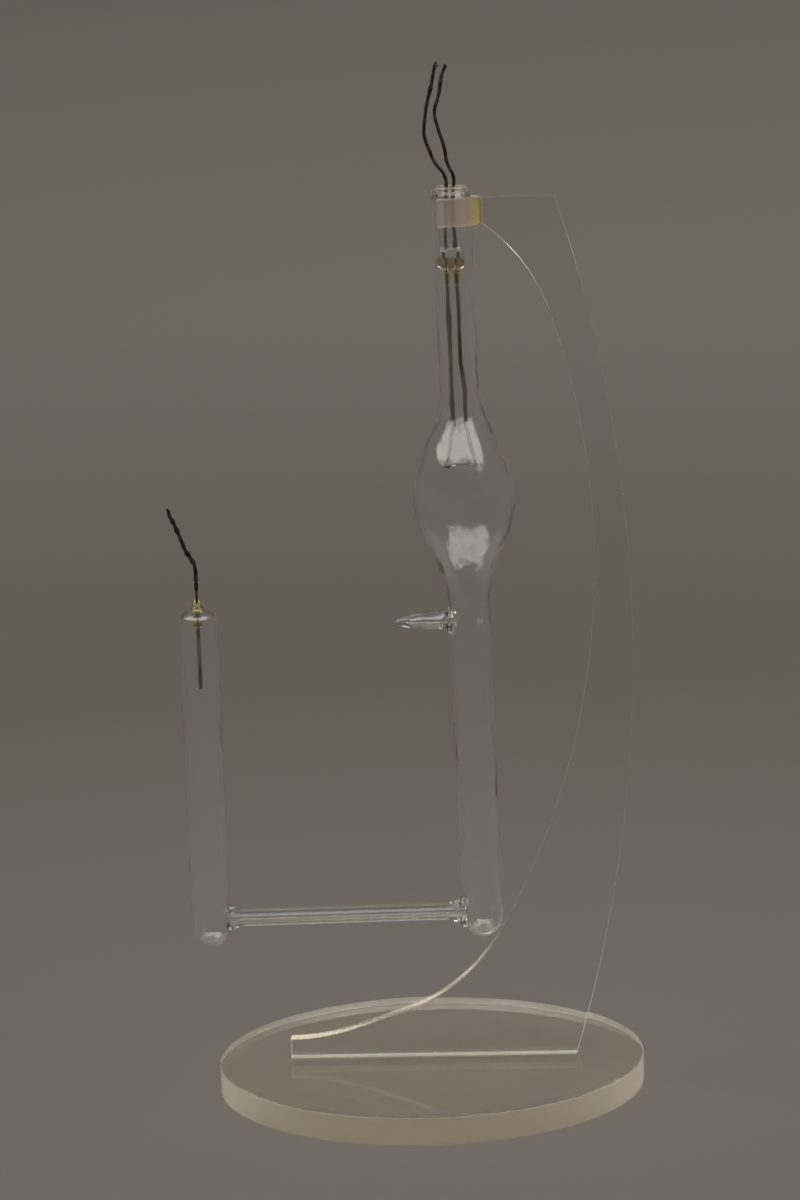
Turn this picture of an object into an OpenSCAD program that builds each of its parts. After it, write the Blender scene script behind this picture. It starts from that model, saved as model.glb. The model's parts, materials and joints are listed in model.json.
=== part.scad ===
// Krypton discharge lamp, held upright on a clear acrylic stand.
// Millimetres, +Z up. The origin is the centre of the base disc's underside,
// and the stand's arm lies in the XZ plane.

/* [Base disc] */
// Diameter of the base disc
base_d = 150; // [130:1:180]
// Thickness of the base disc
base_t = 9.5; // [8:0.5:14]
// Bevel on the disc's two edges
base_bevel = 0.3; // [0.1:0.1:0.8]

/* [Upright arm] */
// Thickness of the sheet that the arm is cut from
arm_t = 6; // [5:0.5:8]
// Height of the arm
arm_h = 303; // [290:1:320]
// Length of the foot, from toe to heel
foot_len = 101.4; // [92:0.2:110]
// Distance of the heel from the middle of the disc
heel_x = 51.6; // [46:0.2:56]
// Height of the upright face at the toe
toe_h = 6.9; // [5:0.1:10]
// Length of the level top edge
top_len = 24.6; // [20:0.2:28]
// Height of the end face that the collar is cemented to
end_h = 9.5; // [8:0.1:12]
// How far the back edge bows out past the heel
back_bow = 23.2; // [18:0.2:30]
// Width of the arm at its waist
waist_w = 11.8; // [11:0.1:18]
// Height of the waist above the arm's middle
waist_up = 28.4; // [20:0.2:36]
// Radius of the inner edge where it lifts off the toe
toe_r = 72.6; // [64:0.2:80]
// Radius of the inner edge under the limb
bend_r = 63.8; // [58:0.2:70]
// Height of the lowest point of that radius above the foot
bend_up = 13.1; // [11:0.1:16]
// Slope at which the limb's foot nears that radius, in degrees
near_angle = 28.5; // [24:0.5:34]
// Radius of the inner edge under the head
head_r = 61.4; // [56:0.2:68]
// Thickness of the cement film under the foot
film_t = 0.15; // [0.1:0.05:0.3]
// How far the cement is squeezed out past the arm's faces
squeeze = 0.4; // [0.2:0.1:0.8]

/* [Collar] */
// Wall of the split collar
collar_wall = 2.65; // [2:0.05:3.5]
// Radial play of the neck in the collar
collar_play = 0.05; // [0.02:0.01:0.1]
// Distance from the neck's axis to the collar's square-cut jaws
jaw_x = 4.6; // [3.6:0.1:5.4]
// Cement between the collar and the arm's end
cement_gap = 1; // [0.5:0.1:1.6]

/* [Glass limbs] */
// Outer diameter of the neck
neck_d = 13.6; // [12:0.2:15]
// Wall of the blown glass
glass_wall = 0.9; // [0.8:0.05:1.3]
// Length of the neck, from the rim to the bulb's shoulder
neck_len = 70; // [62:1:78]
// Largest diameter of the bulb
bulb_d = 35; // [28:0.2:40]
// Length of the bulb above its widest place
bulb_up = 39; // [34:0.5:44]
// Length of the bulb below its widest place
bulb_down = 35.4; // [30:0.2:40]
// Outer diameter of the tube below the bulb
tube_d = 14.4; // [13:0.2:15.4]
// Gap between the limb's round foot and the arm's inner edge
arm_gap = 0.45; // [0.35:0.05:1]
// Height of the rim above the collar
rim_up = 3.8; // [3.2:0.1:6]
// Lean of the cathode limb, in degrees
lamp_lean = 0.76; // [0:0.02:1.2]
// Distance between the axes of the two limbs, at the capillary
limb_gap = 96.3; // [88:0.1:104]
// Outer diameter of the anode limb
anode_d = 13.7; // [12:0.1:15]
// Length of the anode limb
anode_len = 122.1; // [110:0.1:130]
// How far the anode limb reaches below the cathode limb
anode_drop = 1.2; // [0:0.1:3]
// Lean of the anode limb towards the cathode limb, in degrees
anode_lean = 0.7; // [0:0.1:1]
// Height of the anode limb's dome
dome_h = 4; // [3:0.1:6]

/* [Capillary] */
// Outer diameter of the capillary
cap_d = 6.2; // [5:0.1:7]
// Bore of the capillary
cap_bore = 3; // [2:0.1:3.6]
// Height of the capillary's axis above the foot of the cathode limb
cap_up = 9.2; // [8.4:0.1:12]
// Outer diameter where the capillary meets the cathode limb
cathode_flare_d = 9.4; // [8:0.1:11]
// Length of the flare at the cathode limb
cathode_flare_len = 5.5; // [3:0.5:9]
// Outer diameter where the capillary meets the anode limb
anode_flare_d = 8.4; // [7.5:0.1:10]
// Length of the flare at the anode limb
anode_flare_len = 4; // [2:0.5:8]
// Diameter of the bore where it opens into a limb
mouth_d = 4.8; // [4:0.1:6]

/* [Exhaust tip] */
// Depth of the exhaust tip below the bulb
pip_drop = 6.1; // [5.2:0.1:12]
// Length of the exhaust tip, from the wall of the limb
pip_len = 19.1; // [14:0.1:25]
// Diameter of the exhaust tip
pip_d = 5.7; // [4.5:0.1:7]
// Diameter of its root on the limb
pip_root_d = 9.4; // [7.5:0.1:11]
// Wall of the exhaust tip
pip_wall = 0.9; // [0.6:0.1:1.2]

/* [Cathode stem] */
// Wall of the stem tube
stem_wall = 0.75; // [0.6:0.05:0.9]
// Room between the weld knots and the wall of the stem tube
knot_room = 1.1; // [0.9:0.05:1.3]
// Sideways shift of the stem and its wires in the neck
stem_shift = -0.9; // [-1:0.05:0]
// Depth of the stem tube below the rim
stem_len = 24.3; // [21:0.1:28]
// Depth over which the stem flares out to the rim
flare_len = 9.5; // [7.5:0.5:11]
// Radius of the rolled lip at the rim
lip_r = 0.85; // [0.7:0.05:1]
// Room between the pinched end of the stem and the neck
pinch_room = 0.2; // [0.15:0.05:1]
// Height of the pinched end
pinch_h = 4.6; // [3.6:0.1:6]
// Thickness of the pinched end
pinch_t = 3.6; // [3:0.1:4]
// Distance between the two cathode wires
wire_gap = 3.4; // [3:0.1:3.8]
// Diameter of the lead-in wires
wire_d = 0.9; // [0.7:0.05:1]
// Diameter of the glass sleeves round the lead-in wires
sleeve_d = 1.9; // [1.6:0.1:2.2]
// Length of the glass sleeves below the pinch
sleeve_len = 4.7; // [3.5:0.1:6]
// Diameter of the weld knot on the right cathode wire
knot_d = 1.6; // [1.2:0.1:1.8]
// Diameter of the weld knot on the left cathode wire
small_knot_d = 1.15; // [1.1:0.05:1.5]
// Length of the weld knots
knot_len = 3; // [2:0.1:3.5]

/* [Cathode] */
// Diameter of the support rods
rod_d = 1.4; // [1:0.1:1.5]
// Distance between the support rods where they bend
bend_gap = 4.3; // [3.8:0.1:4.8]
// Depth of the bends below the neck
bend_drop = 11.5; // [10:0.5:14]
// Height above the bends at which the right rod steps outwards
step_up = 20.5; // [18:0.5:26]
// Height of the right rod's step
step_len = 10; // [6:0.5:12]
// Distance between the lower ends of the support rods
tip_gap = 10.4; // [9.4:0.1:12]
// Height of the splayed ends of the support rods
splay_h = 15.6; // [12:0.2:20]
// Sideways shift of the splayed ends in the bulb
splay_shift = -0.5; // [-0.8:0.1:0.4]
// Wall of the clamps on the rod ends
clamp_wall = 0.22; // [0.15:0.01:0.3]
// Length of the clamps on the rod ends
clamp_len = 1.9; // [1.6:0.1:3]
// Height of the filament above the rod ends
coil_up = 1.45; // [1.2:0.05:1.8]
// How far the filament sits towards the right rod
coil_shift = 0.7; // [0:0.1:0.8]
// Turns of the filament
coil_turns = 5; // [3:1:6]
// Distance from one turn of the filament to the next
coil_pitch = 0.9; // [0.8:0.02:1]
// Diameter of the filament's coil, at the middle of its wire
coil_d = 1.5; // [1.2:0.1:2]
// Diameter of the filament's wire
coil_wire = 0.3; // [0.2:0.02:0.34]

/* [Anode] */
// Diameter of the anode rod
anode_rod_d = 1.4; // [1:0.1:2]
// Length of the anode rod
anode_rod_len = 21.4; // [15:0.1:30]
// Diameter of the seal's foot on the dome
seal_d = 4.7; // [3.6:0.1:6]
// Height of the seal's cone above the dome
seal_h = 3.6; // [2.5:0.1:5]
// Depth of the seal's bead below the dome
seal_depth = 6.4; // [5:0.1:8]
// Diameter of the bead inside the dome
bead_d = 3.2; // [2.6:0.1:4]
// Bare wire above the seal
anode_bare = 2.6; // [1.5:0.1:4]
// Diameter of the weld knot on the anode wire
anode_knot_d = 1.4; // [1.1:0.1:1.8]

/* [Leads] */
// Diameter of the cathode leads
lead_d = 1.05; // [0.8:0.05:1.2]
// Diameter of the anode lead
anode_lead_d = 1.2; // [0.9:0.1:1.4]

/* [Hidden] */
$fn = 96;

// Smallest step between a fused wire and the glass round it
seal_fit = 0.01;
// Overlap of a cutting solid past the face that it cuts
past = 1;

// The arm in its own plane, as points of x and z
foot_z = base_t + film_t;
top_z = foot_z + arm_h;
toe_x = heel_x - foot_len;
tip_x = heel_x - top_len;
tip_z = top_z - end_h;
mid_z = foot_z + arm_h / 2;
back_r = (pow(arm_h / 2, 2) + pow(back_bow, 2)) / (2 * back_bow);
back_c = [heel_x + back_bow - back_r, mid_z];
waist_z = mid_z + waist_up;
waist_back = back_c[0] + sqrt(pow(back_r, 2) - pow(waist_z - mid_z, 2));
waist_pt = [waist_back - waist_w, waist_z];
toe_top = [toe_x, foot_z + toe_h];
tip_low = [tip_x, tip_z];

// The collar stands on the neck's axis, flush with the arm's end
neck_r = neck_d / 2;
collar_ir = neck_r + collar_play;
collar_or = collar_ir + collar_wall;
collar_x = tip_x - cement_gap - collar_or;
collar_z = tip_z + end_h / 2;
rim_height = end_h / 2 + rim_up;

// The cathode limb runs down until its round foot clears the arm's lower curve
tube_r = tube_d / 2;
limb_down = [sin(lamp_lean), -cos(lamp_lean)];
rim_pt = [collar_x, collar_z] - rim_height * limb_down;
foot_reach = bend_r - tube_r - arm_gap;
bend_mid_z = foot_z + bend_up + bend_r;
foot_mid_z = bend_mid_z - foot_reach * sin(near_angle);
foot_run = (rim_pt[1] - foot_mid_z) / cos(lamp_lean);
foot_mid = rim_pt + foot_run * limb_down;
limb_len = foot_run + tube_r;

// The arm's inner edge: an arc off the toe, a straight ramp, then three arcs that touch in turn
toe_c = toe_top + [0, toe_r];
bend_c = [foot_mid[0] - foot_reach * cos(near_angle), bend_mid_z];
toe_to_bend = bend_c - toe_c;
ramp_angle = angle_of(toe_to_bend) + asin((toe_r - bend_r) / norm(toe_to_bend));
ramp_up = [-sin(ramp_angle), cos(ramp_angle)];
ramp_low = toe_c - toe_r * ramp_up;
ramp_top = bend_c - bend_r * ramp_up;
waist_run = waist_pt - bend_c;
waist_r = (waist_run * waist_run - bend_r * bend_r) / (2 * (waist_run[0] - bend_r));
waist_c = waist_pt - [waist_r, 0];
head_k = waist_r - head_r;
head_d = norm(tip_low - waist_c);
head_dir = (tip_low - waist_c) / head_d;
head_along = (head_k * head_k - head_r * head_r + head_d * head_d) / (2 * head_d);
head_c = waist_c + head_along * head_dir
         + sqrt(head_k * head_k - head_along * head_along) * [head_dir[1], -head_dir[0]];
function angle_of(v) = atan2(v[1], v[0]);
bend_angle = angle_of(bend_c - waist_c);
head_angle = angle_of(head_c - waist_c);

// Heights along the cathode limb, from the rim down
seal_z = -3;
peak_z = -neck_len - bulb_up;
bulb_end_z = peak_z - bulb_down;
cap_z = -limb_len + cap_up;
pip_z = bulb_end_z - pip_drop;
bulb_steps = 16;
flare_steps = 8;

// Heights along the anode limb, from the capillary's axis up
anode_r = anode_d / 2;
anode_low = -cap_up - anode_drop;
anode_top = anode_low + anode_len;
dome_z = anode_top - dome_h;
seal_neck_d = 2.2;
bead_z = anode_top - seal_depth;

// Stem, as radii and heights in the rim's frame
stem_r = wire_gap / 2 + max(knot_d, small_knot_d) / 2 + knot_room + stem_wall;
stem_bore_r = stem_r - stem_wall;
stem_floor = 1.6;
pinch_w = 2 * (neck_r - glass_wall - pinch_room - abs(stem_shift));
pinch_z = -stem_len - pinch_h;
sleeve_z = pinch_z - sleeve_len;
knot_z = -stem_len + stem_floor + 1.6;
lip_x = neck_r - lip_r;
stem_tilt = atan(-stem_shift / (stem_len - lip_r));
stem_run = norm([stem_shift, stem_len - lip_r]);

// Cathode wires, as x across the neck and z down from the rim
bend_z = -neck_len - bend_drop;
tip_z_rod = bend_z - splay_h;
step_z = bend_z + step_up;
clamp_d = rod_d + 2 * (clamp_wall + seal_fit);
bend_swell = 0.06;
function wire_x(side) = stem_shift + side * wire_gap / 2;
function rod_bend(side) = [wire_x(-1) + (side > 0 ? bend_gap : 0), bend_z];
function rod_tip(side) = [splay_shift + side * tip_gap / 2, tip_z_rod];
function splay_tan(side) = side * (rod_tip(side)[0] - rod_bend(side)[0]) / splay_h;
function rod_points(side) = concat([[wire_x(side), sleeve_z]],
    side < 0 ? [] : [[wire_x(side), step_z], [rod_bend(side)[0], step_z - step_len]],
    [rod_bend(side), rod_tip(side)]);

// Routes of the free leads, counted from the top of the weld knot that each starts on
route_left = [[0, 0, 0], [0.2, 0.1, 2.6], [0.5, 0.2, 5.6], [0.6, 0.2, 8.6],
    [0.8, 0.1, 11.6], [0.9, 0, 14.6], [1.1, 0, 17.5], [1.2, 0, 20.1], [0.2, 0, 22.9],
    [-1.7, 0.2, 25.3], [-3.1, 0.3, 27.9], [-4.1, 0.4, 30.7], [-5.1, 0.5, 33.4],
    [-5.6, 0.5, 36.1], [-5.4, 0.5, 38.9], [-5, 0.4, 41.7], [-4.5, 0.3, 44.7],
    [-3.8, 0.3, 47.7], [-2.9, 0.2, 50.7], [-2.1, 0.1, 53.7], [-1.5, 0, 56.5],
    [-0.9, 0, 58.7], [0.2, 0, 60.2]];
route_right = [[0, 0, 0], [-0.2, -0.1, 2.6], [-0.3, -0.2, 5.6], [-0.4, -0.2, 8.6],
    [-0.4, -0.2, 11.6], [-0.2, -0.1, 14.6], [0.2, 0, 17.5], [0.5, 0, 19.9],
    [0.1, 0, 22.3], [-1, -0.1, 24.5], [-1.8, -0.2, 27.2], [-2.1, -0.3, 30.1],
    [-2.7, -0.4, 33], [-3.6, -0.4, 36], [-4.4, -0.4, 39], [-5, -0.3, 41.8],
    [-4.9, -0.3, 44.7], [-3.9, -0.2, 47.4], [-3.1, -0.1, 50.3], [-2.6, 0, 53.3],
    [-2, 0, 55.9], [-1.2, 0, 57.8], [-0.5, 0, 59.4]];
route_anode = [[0, 0, 0], [0, 0, 2], [0, -0.3, 4.2], [-0.4, -1, 6.8], [-1.6, -2, 9.4],
    [-2.9, -3.1, 11.9], [-3.7, -4.2, 14.6], [-4.5, -5.3, 17.3], [-5.4, -6.4, 20.1],
    [-6.3, -7.5, 22.7], [-7.2, -8.5, 24.9], [-7.6, -9.8, 27.6]];
function moved(route, start) = [for (p = route) start + p];

// Blown forms, as a radius at a height or at a distance from a wall
function bell(u) = (1 + cos(180 * min(u, 1))) / 2;
function bulb_radius(z) =
    z > peak_z ? neck_r + (bulb_d / 2 - neck_r) * bell((z - peak_z) / bulb_up)
               : tube_r + (bulb_d / 2 - tube_r) * bell((peak_z - z) / bulb_down);
function flare(r, root_r, len, s) = r + (root_r - r) * pow(1 - min(s / len, 1), 2);
function pip_radius(s, r, len) = r * sqrt(max(1 - pow(s / len, 2.4), 0));
function bulb_heights() = concat([seal_z],
    [for (i = [bulb_steps:-1:0]) peak_z + bulb_up * i / bulb_steps],
    [for (i = [1:bulb_steps]) peak_z - bulb_down * i / bulb_steps]);

// Rings of a round wire carried along a path without twisting
function unit(v) = v / norm(v);
function headings(p) = [for (i = [0:len(p) - 1])
    unit(p[min(i + 1, len(p) - 1)] - p[max(i - 1, 0)])];
function carried(t, n, i = 0) = i == len(t) ? [] :
    let (m = unit(n - (n * t[i]) * t[i])) concat([m], carried(t, m, i + 1));

module sweep(path, d, sides, first) {
    along = headings(path);
    across = carried(along, first);
    last = len(path) - 1;
    points = [for (i = [0:last], j = [0:sides - 1])
        path[i] + d / 2 * (cos(360 * j / sides) * across[i]
                           + sin(360 * j / sides) * cross(along[i], across[i]))];
    walls = [for (i = [0:last - 1], j = [0:sides - 1])
        let (k = (j + 1) % sides, a = i * sides, b = a + sides)
        each [[a + j, a + k, b + j], [a + k, b + k, b + j]]];
    low_end = [for (j = [1:sides - 2]) [0, j + 1, j]];
    high_end = [for (j = [1:sides - 2])
        let (e = last * sides) [e, e + j, e + j + 1]];
    polyhedron(points, [for (f = concat(walls, low_end, high_end)) [f[2], f[1], f[0]]]);
}

// The filament: straight tails, then turns about the X axis
coil_z = tip_z_rod + coil_up;
coil_x = splay_shift + coil_shift;
coil_r = coil_d / 2;
coil_half = coil_turns * coil_pitch / 2;
coil_rings = 8;
tail_z = coil_z - coil_r;
tail_fit = 0.05;
tail_run = 0.35;
function tail_x(side) =
    let (t = splay_tan(side))
    rod_tip(side)[0]
    - side * ((tail_z - tip_z_rod) * t + clamp_d / 2 * sqrt(1 + t * t) + tail_fit);
function coil_point(i) =
    let (turn = i / coil_rings)
    [coil_x - coil_half + turn * coil_pitch,
     -coil_r * sin(360 * turn), coil_z - coil_r * cos(360 * turn)];
coil_path = concat(
    [[tail_x(-1), 0, tail_z], [tail_x(-1) + coil_wire, 0, tail_z],
     [coil_x - coil_half - tail_run, coil_r / 3, tail_z]],
    [for (i = [0:coil_turns * coil_rings]) coil_point(i)],
    [[coil_x + coil_half + tail_run, -coil_r / 3, tail_z],
     [tail_x(1) - coil_wire, 0, tail_z], [tail_x(1), 0, tail_z]]);
coil_gap = min([for (i = [0:len(coil_path) - 1], j = [i + 5:1:len(coil_path) - 1])
    norm(coil_path[i] - coil_path[j])]) - coil_wire;
echo(str("least gap of the filament to itself, mm: ", coil_gap));

// Frames that the lamp's pieces stand in
module rim_frame() {
    translate([collar_x, 0, collar_z])
        rotate([0, -lamp_lean, 0])
            translate([0, 0, rim_height])
                children();
}
module anode_frame() {
    rim_frame()
        translate([-limb_gap, 0, cap_z])
            rotate([0, anode_lean, 0])
                children();
}

// Round bar from p to q, both points of x and z
module bar(p, q, d) {
    v = q - p;
    translate([p[0], 0, p[1]])
        rotate([0, atan2(v[0], v[1]), 0])
            cylinder(d = d, h = norm(v));
}
module upright(x, z_low, z_high, d) {
    translate([x, 0, z_low])
        cylinder(d = d, h = z_high - z_low);
}

// Slice of a circle between two angles
module sector(c, r, from, to) {
    middle = (from + to) / 2;
    translate(c)
        intersection() {
            circle(r);
            polygon([[0, 0], for (a = [from, middle, to]) 2 * r * [cos(a), sin(a)]]);
        }
}

module base_disc() {
    r = base_d / 2;
    color([0.86, 0.84, 0.74, 0.6])
        rotate_extrude($fn = 180)
            polygon([[0, 0], [r - base_bevel, 0], [r, base_bevel], [r, base_t - base_bevel],
                     [r - base_bevel, base_t], [0, base_t]]);
}

module arm_outline() {
    spare = 5;
    inset = [0, -past];
    difference() {
        intersection() {
            translate(back_c)
                circle(back_r, $fn = 720);
            polygon([[toe_x, foot_z], [heel_x + back_bow + past, foot_z],
                     [heel_x + back_bow + past, top_z], [tip_x, top_z], tip_low,
                     head_c + inset, bend_c + inset, toe_c + inset, toe_top]);
        }
        sector(toe_c, toe_r, -90 - spare, ramp_angle - 90 + spare, $fn = 360);
        polygon([toe_c, ramp_low, ramp_top, bend_c]);
        sector(bend_c, bend_r, ramp_angle - 90 - spare, bend_angle + spare, $fn = 360);
        sector(waist_c, waist_r, bend_angle, head_angle, $fn = 720);
        sector(head_c, head_r, head_angle - spare, angle_of(tip_low - head_c) + spare,
               $fn = 360);
    }
}

module upright_arm() {
    color([0.88, 0.92, 0.93, 0.45])
        rotate([90, 0, 0])
            linear_extrude(height = arm_t, center = true)
                arm_outline();
}

module foot_cement() {
    film_w = arm_t + 2 * squeeze;
    color([0.9, 0.88, 0.78, 0.7])
        translate([toe_x, -film_w / 2, base_t])
            cube([foot_len, film_w, film_t]);
}

// Where the collar sits: its own cylinder, leaning with the lamp
module collar_round(r, h) {
    translate([collar_x, 0, collar_z])
        rotate([0, -lamp_lean, 0])
            cylinder(r = r, h = h, center = true);
}

module neck_collar() {
    color([0.9, 0.9, 0.88, 0.5])
        difference() {
            collar_round(collar_or, end_h);
            collar_round(collar_ir, end_h + 2 * past);
            translate([collar_x, 0, collar_z])
                rotate([0, -lamp_lean, 0])
                    translate([-jaw_x - collar_or, 0, 0])
                        cube([2 * collar_or, 2 * collar_or + past, end_h + 2 * past],
                             center = true);
        }
}

module collar_cement() {
    bite = 1.2;
    fill_w = arm_t + 2 * squeeze;
    color([0.8, 0.75, 0.3, 0.8])
        difference() {
            translate([tip_x - cement_gap - bite, -fill_w / 2, tip_z + 0.2])
                cube([cement_gap + bite, fill_w, end_h - 0.4]);
            collar_round(collar_or, end_h + 2 * past);
        }
}

module cathode_bulb() {
    heights = bulb_heights();
    color([0.8, 0.86, 0.88, 0.35])
        rim_frame()
            rotate_extrude()
                polygon(concat(
                    [for (z = heights) [bulb_radius(z), z]],
                    [for (i = [len(heights) - 1:-1:0])
                        [bulb_radius(heights[i]) - glass_wall, heights[i]]]));
}

// Half outline of a rod that stands from z_low to z_high on a round foot
module round_foot(r, z_low, z_high) {
    translate([0, z_low + r])
        square([r, z_high - z_low - r]);
    intersection() {
        translate([0, z_low + r])
            circle(r);
        translate([0, z_low])
            square([r, r]);
    }
}

module side_hole(d, len) {
    rotate([0, -90, 0])
        cylinder(d = d, h = len);
}

module cathode_tube() {
    inner = tube_r - glass_wall;
    color([0.8, 0.86, 0.88, 0.35])
        rim_frame()
            difference() {
                rotate_extrude()
                    difference() {
                        round_foot(tube_r, -limb_len, bulb_end_z);
                        round_foot(inner, -limb_len + glass_wall, bulb_end_z + past);
                    }
                translate([0, 0, cap_z])
                    side_hole(mouth_d, tube_d);
                translate([0, 0, pip_z])
                    side_hole(pip_d - 2 * pip_wall, tube_d);
            }
}

// Outline of the exhaust tip along its own axis, from inside the limb's wall out
module pip_outline(r, root_r, len) {
    steps = 24;
    start = -glass_wall;
    root_len = 4;
    polygon(concat([[0, start]],
        [for (i = [0:steps])
            let (s = len * (1 - pow(1 - i / steps, 2)))
            [pip_radius(s, r, len) + flare(0, root_r - r, root_len, s), i == 0 ? start : s]]));
}

module exhaust_tip() {
    r = pip_d / 2;
    sealed = 4.5;
    color([0.8, 0.86, 0.88, 0.35])
        rim_frame()
            difference() {
                translate([-tube_r, 0, pip_z])
                    rotate([0, -90, 0])
                        rotate_extrude()
                            difference() {
                                pip_outline(r, pip_root_d / 2, pip_len);
                                translate([0, -past])
                                    square([r - pip_wall, past + 0.01]);
                                pip_outline(r - pip_wall, r - pip_wall, pip_len - sealed);
                            }
                upright(0, bulb_end_z - limb_len, bulb_end_z, tube_d);
            }
}

// Outline of the capillary along its axis, from the cathode limb's axis to the anode's
module cap_outline(r, cathode_r, anode_r2, reach_in, reach_out) {
    wall_out = limb_gap - anode_r;
    polygon(concat(
        [[0, reach_in], [cathode_r, reach_in]],
        [for (i = [0:flare_steps])
            let (s = cathode_flare_len * i / flare_steps)
            [flare(r, cathode_r, cathode_flare_len, s), tube_r + s]],
        [for (i = [flare_steps:-1:0])
            let (s = anode_flare_len * i / flare_steps)
            [flare(r, anode_r2, anode_flare_len, s), wall_out - s]],
        [[anode_r2, reach_out], [0, reach_out]]));
}

module capillary_tube() {
    deep = 2.2;
    color([0.84, 0.88, 0.9, 0.5])
        difference() {
            rim_frame()
                translate([0, 0, cap_z])
                    rotate([0, -90, 0])
                        rotate_extrude()
                            difference() {
                                cap_outline(cap_d / 2, cathode_flare_d / 2, anode_flare_d / 2,
                                            tube_r - deep, limb_gap - anode_r + deep);
                                cap_outline(cap_bore / 2, mouth_d / 2, mouth_d / 2,
                                            0, limb_gap);
                            }
            rim_frame()
                rotate_extrude()
                    round_foot(tube_r, -limb_len, bulb_end_z);
            anode_frame()
                rotate_extrude()
                    anode_outline(anode_r, anode_low, dome_z, dome_h);
        }
}

// Half outline of the anode limb: round foot, straight wall, shallow dome
module anode_outline(r, z_low, z_dome, h) {
    steps = 12;
    round_foot(r, z_low, z_dome);
    polygon(concat([[0, z_dome - past], [r, z_dome - past]],
        [for (i = [0:steps]) [r * cos(90 * i / steps), z_dome + h * sin(90 * i / steps)]]));
}

module anode_tube() {
    color([0.8, 0.86, 0.88, 0.35])
        anode_frame()
            difference() {
                rotate_extrude()
                    difference() {
                        anode_outline(anode_r, anode_low, dome_z, dome_h);
                        anode_outline(anode_r - glass_wall, anode_low + glass_wall, dome_z,
                                      dome_h - glass_wall);
                    }
                rotate([0, -anode_lean, 0])
                    rotate([0, 90, 0])
                        cylinder(d = mouth_d, h = anode_d);
                upright(0, dome_z, anode_top + past, seal_neck_d + 2 * seal_fit);
            }
}

// Half outline of the stem below the lip's centre, flaring from radius r out to the lip
module stem_outline(r, top, bottom) {
    steps = 12;
    swell = lip_x + stem_wall / 2 - stem_r;
    polygon(concat([[0, bottom], [0, top], [r + swell, top]],
        [for (i = [0:steps])
            [r + swell * pow(1 - i / steps, 3), (lip_r - flare_len) * i / steps]],
        [[r, bottom]]));
}

// Frame of the stem tube, which hangs askew from the lip
module stem_frame() {
    translate([0, 0, -lip_r])
        rotate([0, stem_tilt, 0])
            children();
}

module stem_tube() {
    color([0.8, 0.86, 0.88, 0.35])
        rim_frame()
            difference() {
                union() {
                    rotate_extrude() {
                        translate([lip_x, -lip_r])
                            circle(lip_r);
                        translate([neck_r - glass_wall, seal_z])
                            square([glass_wall, -seal_z - lip_r]);
                    }
                    stem_frame()
                        rotate_extrude()
                            difference() {
                                stem_outline(stem_r, 0, -stem_run);
                                stem_outline(stem_bore_r, past, stem_floor - stem_run);
                            }
                }
                for (side = [-1, 1])
                    upright(wire_x(side), -stem_len - past, 2 * stem_floor - stem_len,
                            wire_d + 2 * seal_fit);
            }
}

module rounded_block(w, h, c) {
    translate([-w / 2 + c, 0])
        square([w - 2 * c, h]);
    translate([-w / 2, c])
        square([w, h - 2 * c]);
    for (x = [-1, 1], y = [c, h - c])
        translate([x * (w / 2 - c), y])
            circle(c);
}

module stem_pinch() {
    corner = 1.1;
    color([0.78, 0.76, 0.6, 0.6])
        rim_frame()
            difference() {
                translate([stem_shift, 0, pinch_z])
                    rotate([90, 0, 0])
                        linear_extrude(height = pinch_t, center = true)
                            rounded_block(pinch_w, pinch_h + corner, corner);
                stem_frame()
                    translate([-neck_d, -neck_r, -stem_run])
                        cube([2 * neck_d, neck_d, stem_len]);
                for (side = [-1, 1])
                    upright(wire_x(side), pinch_z - past, -stem_len + past,
                            wire_d + 2 * seal_fit);
            }
}

module seal_sleeve(side) {
    r = sleeve_d / 2;
    bore = wire_d / 2 + seal_fit;
    root_r = wire_gap / 2 - 0.1;
    root_len = 1.8;
    steps = 8;
    color([0.75, 0.7, 0.3, 0.8])
        rim_frame()
            translate([wire_x(side), 0, pinch_z])
                rotate_extrude()
                    polygon(concat(
                        [[bore, -sleeve_len], [bore, 0]],
                        [for (i = [0:steps])
                            let (s = root_len * i / steps)
                            [flare(r, root_r, root_len, s), -s]],
                        [[r, 0.3 - sleeve_len], [r - 0.3, -sleeve_len]]));
}

module lead_in(side) {
    color([0.3, 0.27, 0.25])
        rim_frame()
            upright(wire_x(side), sleeve_z, knot_z, wire_d);
}

module knot(x, z, d) {
    r = d / 2;
    translate([x, 0, z])
        rotate_extrude()
            union() {
                square([r * 0.75, knot_len]);
                translate([0, knot_len * 0.15])
                    square([r, knot_len * 0.7]);
            }
}

module weld_knot(side) {
    color([0.2, 0.17, 0.14])
        rim_frame()
            knot(wire_x(side), knot_z, side < 0 ? small_knot_d : knot_d);
}

module support_rod(side) {
    points = rod_points(side);
    color([0.36, 0.33, 0.3])
        rim_frame() {
            for (i = [1:len(points) - 1])
                bar(points[i - 1], points[i], rod_d);
            for (i = [1:len(points) - 2])
                translate([points[i][0], 0, points[i][1]])
                    sphere(d = rod_d + bend_swell);
        }
}

module filament_clamp(side) {
    tip = rod_tip(side);
    up = unit(rod_bend(side) - tip);
    color([0.42, 0.4, 0.38])
        rim_frame()
            difference() {
                bar(tip, tip + clamp_len * up, clamp_d);
                bar(tip - up, tip + (clamp_len + past) * up, rod_d + 2 * seal_fit);
            }
}

module filament_coil() {
    color([0.62, 0.61, 0.6])
        rim_frame()
            sweep(coil_path, coil_wire, 6, [0, 0, 1]);
}

module cathode_lead(side, route) {
    start = [wire_x(side), 0, knot_z + knot_len];
    color([0.15, 0.13, 0.1])
        rim_frame()
            sweep(moved(route, start), lead_d, 8, [1, 0, 0]);
}

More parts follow.
